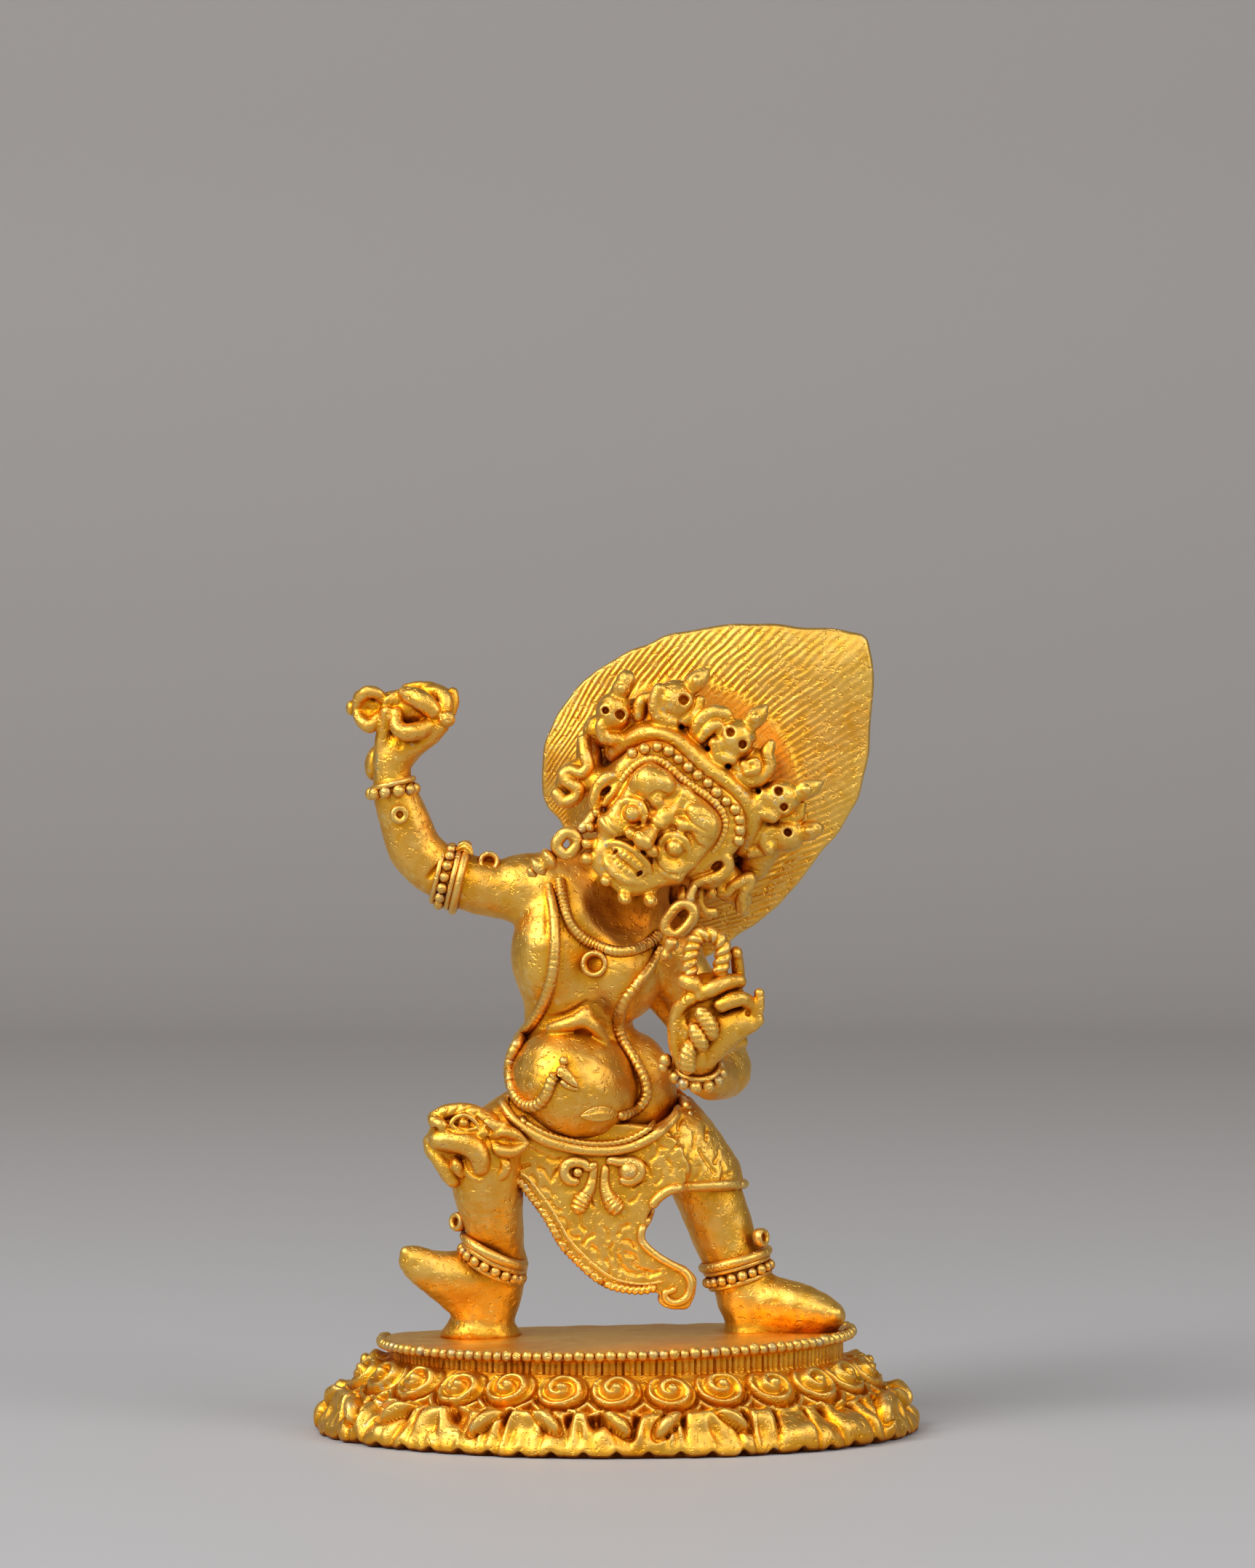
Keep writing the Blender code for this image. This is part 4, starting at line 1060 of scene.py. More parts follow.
def borders():
    """The plaited border of the hanging skin, its plain inner border, the hem of the thigh and the bow
    of the belt, whose ribbed tails hang down the middle."""
    clay = hips()
    outer = [(-7.35, 11.55), (-6.7, 11.1), (-6.0, 10.2), (-5.25, 9.2), (-4.55, 8.05), (-3.85, 6.8),
             (-2.85, 5.7), (-1.75, 4.7), (-0.7, 4.0), (0.55, 3.65), (1.8, 3.55), (2.9, 3.75)]
    line = laid(clay, outer, 16, lift=0.02)
    run = run_along(line)
    angle = turns_of(14)
    plait = 0.3 + 0.05 * np.cos(2 * math.pi * run[:, None] / 0.42 + 2.2 * np.sin(angle))
    shapes = [cord(line, plait, TO_VIEWER, 14)]
    second = laid(clay, np.array(outer) + (0.42, 0.42), 12, lift=-0.08)
    shapes.append(cord(second, 0.16, TO_VIEWER, 8))
    inner = [(2.6, 9.35), (2.3, 8.6), (1.85, 7.9), (1.8, 7.2), (2.2, 6.6), (3.0, 5.95), (3.95, 5.4),
             (4.9, 4.85), (5.3, 4.1), (5.15, 3.2), (4.7, 2.75), (4.1, 2.65), (3.6, 2.9), (3.5, 3.35),
             (3.95, 3.5), (4.3, 3.75)]
    line = laid(clay, inner, 10, lift=0.0)
    shapes.append(strand(line, [0.24, 0.3, 0.3, 0.28, 0.3, 0.3, 0.26, 0.2], 10))
    hem = laid(clay, HEM, 10, lift=-0.04)
    shapes.append(cord(hem, 0.36, TO_VIEWER, 12))
    behind = smooth_line([(8.85, -1.2, 10.8), (9.25, 0.4, 10.75), (8.9, 2.0, 10.7), (7.6, 3.1, 10.65),
                          (5.6, 3.4, 10.6), (3.6, 3.0, 10.5)], 8)
    shapes.append(cord(behind, 0.34, (0.3, 1, 0.2), 10))
    bows = ([(-1.35, 12.7), (-1.95, 12.35), (-2.35, 12.65), (-3.05, 12.75), (-3.6, 12.45), (-3.7, 11.9),
             (-3.3, 11.4), (-2.6, 11.35)],
            [(-0.75, 12.7), (-0.3, 12.85), (0.3, 12.75), (1.2, 12.75), (1.7, 12.3), (1.55, 11.7),
             (0.9, 11.35), (0.2, 11.55)])
    for bow in bows:
        line = laid(clay, bow, 8, lift=0.1)
        shapes.append(strand(line, [0.28, 0.38, 0.44, 0.42, 0.32], 10))
    for ball_at, size in (((0.9, 12.1), 0.78), ((-2.75, 12.0), 0.4)):
        shapes.append(beads([spot_on(clay, ball_at)], size, 16, 9))
    tails = (([(-1.6, 12.7), (-1.7, 11.6), (-1.95, 10.7), (-2.5, 9.9), (-2.85, 9.0)],
              [0.34, 0.36, 0.46, 0.64, 0.5]),
             ([(-0.75, 12.6), (-0.85, 11.4), (-0.7, 10.5), (-0.2, 9.7), (0.35, 9.1)],
              [0.3, 0.36, 0.48, 0.68, 0.52]))
    for tail, widths in tails:
        line = laid(clay, tail, 14, lift=-0.05)
        run = run_along(line)
        ribs = 1 + 0.09 * np.cos(2 * math.pi * run / 0.36) * np.clip((run - 2.2) / 0.6, 0, 1)
        shapes.append(cord(line, tapered(len(line), widths) * ribs, TO_VIEWER, 14))
    return gathered(shapes)


# The head, drawn upright: across to the right, deep away from the viewer, up

def on_head(shape):
    """A shape drawn on the upright head, leant over to its place on the figure."""
    return (from_head(shape[0]), *shape[1:])


FACE_BLOCK = [(-3.3, 3.6), (-3.6, 2.4), (-3.5, 1.2), (-3.35, 0.0), (-3.4, -1.4), (-3.15, -2.3),
              (-2.7, -3.2), (-2.2, -4.0), (-1.2, -4.6), (0.2, -4.8), (1.6, -4.7), (2.3, -3.9), (3.0, -2.9),
              (3.6, -1.8), (3.9, -0.4), (3.95, 1.0), (3.85, 2.4), (3.4, 3.45), (2.4, 3.85), (1.0, 3.9),
              (-0.6, 3.75), (-2.0, 3.7)]


HAIR_BLOCK = [(-4.3, -0.6), (-4.9, 0.8), (-5.1, 2.4), (-4.7, 3.9), (-3.9, 5.2), (-2.6, 5.8), (0.0, 5.9),
              (2.6, 5.8), (4.0, 5.3), (5.0, 4.3), (5.5, 2.8), (5.3, 1.2), (4.7, -0.4), (3.8, -1.2),
              (0.0, -1.4), (-3.4, -1.2)]


@functools.lru_cache(maxsize=None)
def head_clay():
    """The wrathful face, a flat block with swollen brows, bulging eyes, a broad nose, a snarling mouth
    with teeth and tufts of beard on stalks, and the ears with a serpentine lock beside each."""
    clay = Clay((-8.8, -9.0, -7.0), (9.4, 0.6, 7.0), 0.086)
    clay.lump((0.1, -2.4, 1.4), (5.4, 3.0, 4.9), 0.3)
    clay.add(flat_form(HAIR_BLOCK, -3.2, 2.25, edge=0.8), 0.4)
    clay.lump((0.1, -3.2, -2.0), (3.0, 2.6, 2.6), 0.8)
    clay.rod([(-3.6, -3.2, -0.4, 1.2), (-5.0, -2.4, 0.0, 1.2), (-6.4, -1.8, -0.8, 1.1)], 0.5)
    clay.rod([(3.8, -3.2, 0.2, 1.2), (5.2, -2.4, 0.6, 1.3), (7.0, -1.8, 0.4, 1.2)], 0.5)
    clay.add(flat_form(FACE_BLOCK, -4.2, 2.2, edge=0.6), 0.35)
    brows_and_eyes(clay)
    nose_and_mouth(clay)
    ears_and_locks(clay)
    hammered(clay, 0.014, 0.9, 34)
    return clay


def brows_and_eyes(clay):
    """Swollen brows, a ridge between them, and bulging eyes between heavy lids."""
    clay.lump((-2.2, -6.0, 2.45), (1.5, 1.15, 1.35), 0.2, -14)
    clay.lump((-1.5, -6.15, 3.1), (0.95, 0.95, 0.7), 0.35, 20)
    clay.lump((-1.2, -6.3, 1.75), (0.62, 0.7, 0.6), 0.2)
    clay.lump((-3.0, -5.9, 1.85), (0.6, 0.7, 0.7), 0.3)
    clay.lump((2.3, -6.0, 2.6), (1.5, 1.1, 1.2), 0.2, 12)
    clay.lump((1.5, -6.15, 2.9), (0.9, 0.9, 0.8), 0.3, -20)
    clay.lump((1.35, -6.3, 1.65), (0.66, 0.7, 0.55), 0.18, -20)
    clay.lump((2.9, -6.1, 1.75), (0.8, 0.7, 0.5), 0.2, 10)
    clay.rod([(-0.05, -5.9, 3.4, 0.5), (0.05, -6.1, 2.4, 0.5), (0.0, -6.3, 1.5, 0.7),
              (0.0, -6.4, 0.8, 0.7)], 0.45)
    groove(clay, [(-0.35, 3.3), (-0.3, 2.6), (-0.4, 1.9)], 0.08, 0.03, 0.2)
    groove(clay, [(-1.75, 1.7), (-1.55, 2.3), (-1.0, 2.5)], 0.09, 0.05, 0.14)
    groove(clay, [(0.95, 2.3), (1.7, 2.15), (2.3, 2.2), (3.1, 2.35)], 0.09, 0.05, 0.14)
    groove(clay, [(1.9, 2.9), (2.4, 3.2), (2.9, 3.1)], 0.07, 0.04, 0.12)
    for across, up in ((-1.93, -0.05), (1.93, 0.02)):
        clay.pit((across, -7.0, up), (0.9, 0.6, 0.76), 0.2)
        clay.lump((across, -6.5, up), (0.7, 0.82, 0.66), 0.03)
    clay.rod([(-3.0, -6.1, -0.1, 0.2), (-2.7, -6.4, 0.5, 0.26), (-1.95, -6.6, 0.84, 0.28),
              (-1.25, -6.65, 0.56, 0.26), (-0.92, -6.6, 0.0, 0.2), (-0.74, -6.55, -0.45, 0.18)], 0.3)
    clay.rod([(0.84, -6.55, -0.3, 0.18), (1.0, -6.6, 0.35, 0.24), (1.6, -6.65, 0.84, 0.28),
              (2.4, -6.5, 0.82, 0.28), (3.0, -6.3, 0.35, 0.2)], 0.3)
    clay.rod([(-3.05, -6.0, -0.2, 0.26), (-2.8, -6.15, -0.78, 0.38), (-2.0, -6.3, -1.1, 0.42),
              (-1.3, -6.35, -0.95, 0.34), (-0.9, -6.4, -0.6, 0.2)], 0.35)
    clay.rod([(0.95, -6.4, -0.5, 0.22), (1.3, -6.35, -0.85, 0.34), (2.0, -6.3, -1.06, 0.42),
              (2.95, -6.15, -0.85, 0.4), (3.5, -5.9, -0.25, 0.28)], 0.35)


def nose_and_mouth(clay):
    """A broad nose, full cheeks with their creases, and an open mouth with two rows of teeth."""
    clay.lump((-0.1, -6.6, 0.62), (0.62, 0.6, 0.4), 0.16)
    clay.rod([(-0.05, -6.6, 0.05, 0.4), (-0.1, -6.9, -0.45, 0.62), (-0.12, -7.05, -0.9, 0.78)], 0.25)
    clay.lump((-0.15, -7.4, -1.05), (0.82, 0.62, 0.58), 0.2)
    for side in (-1, 1):
        clay.lump((-0.12 + 0.92 * side, -6.85, -1.2), (0.56, 0.58, 0.46), 0.16)
        clay.pit((-0.12 + 0.42 * side, -7.6, -1.56), (0.13, 0.35, 0.1), 0.06)
    clay.lump((-2.4, -5.95, -1.75), (1.2, 0.95, 0.75), 0.35, -8)
    clay.lump((2.6, -5.95, -1.45), (1.3, 0.95, 0.75), 0.35, 6)
    groove(clay, [(-3.3, -1.5), (-2.6, -1.8), (-1.8, -1.75), (-1.2, -1.6)], 0.1, 0.05, 0.16)
    groove(clay, [(1.1, -1.5), (1.8, -1.75), (2.7, -1.75), (3.5, -1.2)], 0.1, 0.05, 0.16)
    groove(clay, [(-1.15, -1.75), (-1.7, -2.3), (-1.9, -3.1)], 0.1, 0.05, 0.16)
    groove(clay, [(1.0, -1.7), (1.7, -2.4), (2.0, -3.3)], 0.1, 0.06, 0.16)
    clay.lump((0.1, -5.6, -3.0), (1.75, 1.35, 1.35), 0.35, 6)
    clay.rod([(-1.9, -6.2, -2.9, 0.24), (-1.3, -6.6, -2.3, 0.28), (0.0, -6.9, -1.98, 0.3),
              (1.3, -6.6, -2.2, 0.28), (2.0, -6.2, -2.7, 0.24)], 0.2)
    clay.pit((0.05, -7.3, -2.95), (1.5, 0.8, 0.7), 0.2, 4)
    clay.rod([(-1.2, -6.4, -2.75, 0.38), (-0.4, -6.65, -2.62, 0.46), (0.6, -6.65, -2.62, 0.46),
              (1.3, -6.4, -2.8, 0.38)], 0.06)
    clay.rod([(-1.1, -6.35, -3.35, 0.36), (-0.1, -6.5, -3.42, 0.42), (0.6, -6.5, -3.4, 0.42),
              (1.2, -6.35, -3.25, 0.34)], 0.06)
    for across in (-0.66, -0.26, 0.16, 0.58):
        groove(clay, [(across, -2.35), (across, -2.82)], 0.06, 0.03, 0.05)
        groove(clay, [(across - 0.1, -3.15), (across - 0.1, -3.6)], 0.06, 0.03, 0.05)
    clay.rod([(-1.85, -6.15, -2.95, 0.22), (-1.65, -6.25, -3.4, 0.26), (-1.0, -6.5, -3.9, 0.34),
              (-0.1, -6.65, -4.08, 0.4), (0.8, -6.6, -3.98, 0.36), (1.55, -6.35, -3.55, 0.28),
              (1.9, -6.2, -2.95, 0.22)], 0.25)
    clay.pit((1.2, -7.0, -3.0), (0.16, 0.7, 0.3), 0.08)
    clay.pit((-1.1, -6.9, -2.95), (0.12, 0.5, 0.26), 0.08)
    tufts_of_beard(clay)


def tufts_of_beard(clay):
    """The chin and its tufts of beard, each a ball on a stalk."""
    clay.rod([(-1.9, -5.9, -3.6, 0.6), (-1.5, -5.9, -4.3, 0.6), (-0.3, -6.1, -4.5, 0.5),
              (1.0, -6.1, -4.4, 0.6), (1.7, -5.9, -4.0, 0.5), (2.4, -5.6, -3.2, 0.5)], 0.3)
    tufts = [((-1.9, -5.8, -4.2), (-2.3, -6.2, -4.6), 0.42, 0.5),
             ((-2.5, -5.6, -3.3), (-3.0, -6.0, -3.8), 0.36, 0.44),
             ((-0.3, -6.2, -4.4), (-0.3, -6.6, -4.95), 0.36, 0.42),
             ((1.0, -6.1, -4.4), (1.5, -6.5, -5.0), 0.46, 0.56),
             ((2.4, -5.3, -3.2), (3.0, -5.9, -3.95), 0.46, 0.6),
             ((-3.1, -5.0, -2.3), (-3.6, -5.6, -2.75), 0.36, 0.44),
             ((-3.2, -5.0, -1.6), (-3.9, -5.5, -1.7), 0.3, 0.36)]
    for root, tip, thin, thick in tufts:
        clay.rod([(*root, thin), (*tip, thin)], 0.2)
        clay.lump(tip, (thick, thick, thick * 0.85), 0.08)
    clay.lump((1.62, -6.95, -5.1), (0.3, 0.24, 0.28), 0.05)
    clay.lump((3.1, -6.4, -4.0), (0.3, 0.24, 0.3), 0.05)


def ears_and_locks(clay):
    """The ears, each with a hollow, and a serpentine lock of hair beside each."""
    clay.lump((-4.3, -4.3, 0.1), (0.9, 0.9, 1.5), 0.3)
    clay.rod([(-3.8, -4.7, 1.3, 0.36), (-4.45, -5.0, 1.2, 0.48), (-4.95, -5.1, 0.5, 0.5),
              (-4.9, -5.1, -0.4, 0.48), (-4.5, -5.1, -1.2, 0.46), (-3.9, -5.0, -1.6, 0.4)], 0.12)
    clay.rod([(-4.0, -5.2, 0.8, 0.3), (-3.9, -5.3, 0.1, 0.32), (-3.85, -5.2, -0.8, 0.3)], 0.12)
    clay.pit((-4.4, -5.4, -0.1), (0.2, 0.6, 0.5), 0.08, 8)
    clay.lump((5.2, -4.0, 0.5), (1.1, 0.9, 1.5), 0.3)
    clay.rod([(4.5, -4.8, 0.7, 0.3), (4.65, -4.95, 1.5, 0.34), (5.2, -5.0, 1.8, 0.44),
              (5.75, -4.9, 1.4, 0.46), (5.75, -4.9, 0.6, 0.44), (5.4, -4.9, 0.0, 0.42),
              (5.0, -4.9, -0.5, 0.4), (4.7, -4.9, -1.1, 0.36)], 0.1)
    clay.pit((5.1, -5.2, 0.9), (0.28, 0.6, 0.45), 0.08, 10)
    clay.rod([(-7.4, -1.4, 1.6, 0.9), (-6.5, -1.7, 0.4, 1.0), (-6.9, -1.5, -1.0, 1.0),
              (-6.2, -1.7, -2.2, 0.9)], 0.4)
    lock = [(-7.9, -2.4, 1.6), (-7.2, -2.8, 0.95), (-6.5, -3.0, 0.45), (-6.5, -3.0, -0.25),
            (-7.2, -2.8, -0.6), (-7.4, -2.8, -1.2), (-6.7, -3.0, -1.35), (-6.0, -3.1, -1.25),
            (-5.7, -3.1, -1.85), (-6.15, -3.0, -2.6), (-6.9, -2.8, -2.5)]
    clay.rod([(*place, 0.5) for place in lock], 0.08)
    clay.rod([(6.2, -1.8, 0.6, 1.0), (7.2, -1.6, 0.6, 0.9), (8.1, -1.4, 0.2, 0.8)], 0.4)
    lock = [(6.0, -3.1, 0.4), (6.3, -3.1, -0.3), (6.85, -3.0, -0.2), (6.95, -3.0, 0.5), (7.2, -2.9, 1.1),
            (7.5, -2.8, 1.7), (7.8, -2.7, 1.4), (7.85, -2.7, 0.7), (8.15, -2.6, 0.1), (8.5, -2.4, -0.3)]
    clay.rod([(*place, 0.46) for place in lock], 0.08)
    clay.rod([(5.4, -3.6, -1.2, 0.4), (5.9, -3.6, -1.9, 0.4), (6.6, -3.4, -2.2, 0.42),
              (7.1, -3.2, -1.8, 0.36)], 0.1)
    clay.lump((6.1, -3.9, -0.85), (0.4, 0.4, 0.4), 0.05)
    clay.pit((6.3, -3.6, -1.45), (0.28, 0.9, 0.25), 0.08)
    clay.rod([(4.3, -4.6, -1.9, 0.3), (4.65, -4.9, -2.3, 0.38), (4.95, -4.8, -2.6, 0.3)], 0.1)


HAIRLINE = [(-3.95, 0.9), (-4.0, 1.9), (-3.85, 2.9), (-3.4, 3.7), (-2.7, 4.05), (-1.8, 4.08), (-0.8, 4.05),
            (0.2, 4.1), (1.2, 4.25), (2.3, 4.25), (3.2, 3.95), (3.8, 3.3), (4.15, 2.3), (4.25, 1.2)]
BROW_BEADS = [(-4.65, 3.2), (-4.2, 4.0), (-3.6, 4.7), (-2.8, 5.0), (-1.9, 5.0), (-1.0, 5.0), (-0.1, 5.0),
              (0.8, 5.05), (1.7, 4.95), (2.65, 4.9), (3.5, 4.85), (4.2, 4.5), (4.7, 3.95), (5.1, 3.3)]


def face_trim():
    """The combed hairline over the brow, the row of beads above it, and the earrings."""
    clay = head_clay()
    line = laid(clay, HAIRLINE, 22, lift=-0.2)
    run = run_along(line)
    angle = turns_of(14)
    comb = 1 + 0.05 * np.cos(2 * math.pi * run[:, None] / 0.34 + 1.8 * np.cos(angle))
    shapes = [cord(line,
                   tapered(len(line), [0.28, 0.36, 0.44, 0.48, 0.46, 0.42, 0.36, 0.28])[:, None] * comb,
                   TO_VIEWER, 14)]
    centres = np.array([spot_on(clay, spot) for spot in BROW_BEADS])
    shapes.append(beads(centres, 0.42 * (1 + 0.07 * np.sin(np.arange(len(centres)) * 2.6)), 14, 9))
    facing = (0.12, -1, 0.1)
    ring = squared_ring((-4.1, -5.5, -4.7), 0.66, 0.76, 44)
    shapes.append(cord(ring, 0.46, facing, 14, closed=True))
    drops = smooth_line([(-4.2, -5.3, -5.8, 0.4), (-4.35, -5.3, -6.3, 0.85), (-4.5, -5.3, -6.85, 0.6),
                         (-4.6, -5.3, -7.3, 0.8), (-4.65, -5.2, -7.6, 0.4), (-4.7, -5.2, -8.0, 0.5),
                         (-4.7, -5.2, -8.3, 0.2)], 8)
    shapes.append(cord(drops[:, :3], drops[:, 3], TO_VIEWER, 14))
    shapes.append(cord(smooth_line([(-4.0, -5.1, -1.6), (-3.9, -5.4, -2.6), (-4.0, -5.5, -3.6)], 6), 0.42,
                       TO_VIEWER, 10))
    shapes.append(cord(squared_ring((5.5, -5.2, -3.7), 0.74, 1.2, 44), 0.4, facing, 14, closed=True))
    drops = smooth_line([(6.0, -5.3, -4.9, 0.3), (6.2, -5.4, -5.4, 0.56), (6.25, -5.4, -5.9, 0.3),
                         (6.4, -5.3, -6.3, 0.46), (6.4, -5.3, -6.8, 0.24)], 8)
    shapes.append(cord(drops[:, :3], drops[:, 3], TO_VIEWER, 12))
    shapes.append(cord(smooth_line([(4.7, -4.9, -1.0), (4.95, -5.1, -1.8), (5.4, -5.2, -2.4)], 6), 0.36,
                       TO_VIEWER, 10))
    return on_head(gathered(shapes))


def skull(clay, across, deep, up, size, lean, sockets, jaw, tip, blunt=1.0):
    """One crown ornament: a skull with drilled sockets, a crescent jaw below and a round jewel above."""
    clay.lump((across, deep, up), (size, size * 0.95, size * 1.08), 0.25, lean)
    for u, v, radius in sockets:
        clay.lump((u, deep - size * 0.6, v), (radius * 1.6, 0.4, radius * 1.5), 0.25)
        clay.pit((u, deep - size, v), (radius * 0.95, 0.75, radius * 0.9), 0.16)
    clay.rod([(u, deep - size * 0.45, v, 0.5) for u, v in jaw], 0.3)
    middle = np.mean(np.array(jaw), axis=0) * 0.55 + 0.45 * np.array([across, up])
    aside = np.array([math.cos(math.radians(lean)), -math.sin(math.radians(lean))])
    mouth = [middle + shift * aside for shift in (-0.5, 0.0, 0.5)]
    clay.furrow([(u, deep - size * 1.02, v, 0.16) for u, v in mouth], 0.16)
    foot, top = np.array(tip[0]), np.array(tip[1])
    profile = ((0.0, 0.6), (0.35, 0.74), (0.62, 0.66), (0.84, 0.4 * blunt + 0.05), (1.0, 0.26 * blunt))
    jewel = [(*(foot + share * (top - foot)), radius) for share, radius in profile]
    clay.rod([(u, deep - 0.2, v, radius) for u, v, radius in jewel], 0.1)
    u, v = foot + 0.4 * (top - foot)
    clay.lump((u, deep - 0.8, v), (0.34, 0.3, 0.4), 0.1, lean)


def squared_ring(centre, half, tall, count):
    """A ring in the view between an ellipse and its box: cosine and sine to the power 0.8."""
    angle = turns_of(count)
    c, s = np.cos(angle), np.sin(angle)
    x = centre[0] + half * np.sign(c) * np.abs(c) ** 0.8
    z = centre[2] + tall * np.sign(s) * np.abs(s) ** 0.8
    return np.stack([x, np.full(count, centre[1]), z], -1)


@functools.lru_cache(maxsize=None)
def crown_clay():
    """The crown: a plain band over the brow beads, five skulls under jewelled tips, and scrolled leaves
    between them."""
    clay = Clay((-10.2, -7.4, 1.2), (10.4, 2.4, 12.6), 0.1)
    clay.rod([(-5.6, -2.2, 2.4, 0.8), (-5.2, -3.2, 3.8, 0.95), (-4.5, -3.9, 5.0, 1.0),
              (-3.4, -4.2, 5.7, 1.0), (0.0, -4.5, 5.8, 1.0), (3.2, -4.2, 5.7, 1.0), (4.8, -3.8, 4.9, 0.95),
              (5.7, -2.6, 3.2, 0.8)], 0.4)
    clay.rod([(-5.7, -2.8, 2.4, 0.4), (-5.4, -3.7, 3.6, 0.52), (-4.85, -4.3, 4.8, 0.56),
              (-3.9, -4.75, 5.6, 0.56), (-2.4, -5.0, 5.95, 0.56), (-0.2, -5.1, 5.8, 0.54),
              (1.3, -5.1, 5.95, 0.56), (2.9, -4.9, 5.85, 0.56), (4.3, -4.4, 5.35, 0.54),
              (5.3, -3.8, 4.4, 0.5), (5.9, -2.7, 2.9, 0.4)], 0.22)
    clay.rod([(-7.4, -1.2, 2.9, 1.3), (-6.2, -1.8, 5.0, 1.5), (-4.2, -2.4, 6.6, 1.6), (0.0, -2.8, 7.2, 1.6),
              (4.2, -2.4, 6.4, 1.6), (6.4, -1.8, 4.6, 1.5), (7.2, -1.2, 2.6, 1.2)], 0.5)
    skull(clay, -7.5, -2.9, 4.6, 1.35, -48, [(-7.1, 4.75, 0.4), (-8.1, 4.3, 0.3)],
          [(-7.6, 3.3), (-6.9, 2.8), (-6.1, 3.3)], ((-8.0, 5.6), (-8.45, 7.2)), 1.6)
    skull(clay, -4.7, -3.9, 8.0, 1.45, -24, [(-4.3, 8.5, 0.42)],
          [(-6.1, 7.9), (-5.7, 6.9), (-4.9, 6.4), (-3.9, 6.7)], ((-4.5, 9.4), (-4.35, 11.1)))
    skull(clay, 0.35, -4.2, 8.7, 1.45, 0, [(-0.3, 8.85, 0.36), (0.95, 8.75, 0.36)],
          [(-0.6, 7.5), (0.2, 7.0), (1.0, 7.4)], ((0.4, 10.0), (0.5, 11.8)))
    skull(clay, 5.5, -3.7, 7.5, 1.4, 28, [(5.05, 7.85, 0.36), (6.1, 7.2, 0.34)],
          [(4.4, 6.9), (4.7, 6.2), (5.3, 5.95), (5.9, 6.2)], ((6.2, 8.5), (7.0, 10.2)))
    skull(clay, 7.5, -2.8, 5.8, 1.3, 52, [(7.5, 6.0, 0.34)], [(6.4, 5.3), (6.5, 4.5), (7.2, 4.2)],
          ((8.3, 6.6), (9.1, 7.8)))
    leaves = [[(-1.9, -4.2, 6.9, 0.5), (-2.4, -4.5, 7.9, 0.52), (-2.2, -4.5, 9.0, 0.5),
               (-1.4, -4.5, 9.6, 0.44), (-0.8, -4.4, 9.3, 0.36)],
              [(-1.6, -4.7, 7.2, 0.36), (-1.6, -4.8, 8.1, 0.4), (-1.3, -4.8, 8.7, 0.36),
               (-0.9, -4.7, 8.3, 0.26)], [(1.6, -4.3, 7.2, 0.5), (2.6, -4.4, 6.9, 0.5),
                                          (3.4, -4.3, 7.6, 0.5), (3.4, -4.2, 8.7, 0.46),
                                          (2.7, -4.2, 9.4, 0.44), (2.5, -4.1, 10.0, 0.34)],
              [(2.0, -4.7, 7.7, 0.34), (2.5, -4.8, 7.5, 0.36), (2.85, -4.8, 8.0, 0.34),
               (2.5, -4.8, 8.4, 0.28), (2.2, -4.8, 8.1, 0.22)],
              [(-6.0, -3.5, 5.6, 0.44), (-6.5, -3.5, 6.4, 0.44), (-6.2, -3.5, 7.1, 0.4)],
              [(6.6, -3.2, 6.5, 0.4), (7.3, -3.1, 7.3, 0.42), (7.0, -3.1, 8.1, 0.34)],
              [(-3.3, -4.3, 7.4, 0.44), (-3.1, -4.3, 8.3, 0.4), (-3.4, -4.2, 9.2, 0.34)],
              [(6.4, -3.0, 3.2, 0.4), (6.9, -3.0, 3.9, 0.4), (6.5, -3.0, 4.5, 0.34)]]
    clay.lump((-1.7, -3.8, 8.2), (1.1, 1.0, 1.6), 0.2)
    clay.lump((2.6, -3.7, 8.0), (1.2, 1.0, 1.5), 0.2)
    for leaf_line in leaves:
        clay.rod([(*station[:3], station[3] * 1.2) for station in leaf_line], 0.1)
    for across, up in ((-3.2, 6.9), (-0.75, 6.9), (1.15, 6.9), (4.0, 6.9), (-6.4, 4.9), (1.6, 9.3)):
        clay.pit((across, -5.0, up), (0.18, 1.6, 0.18), 0.1)
    hammered(clay, 0.016, 0.8, 36)
    return clay


# The hands and what they hold

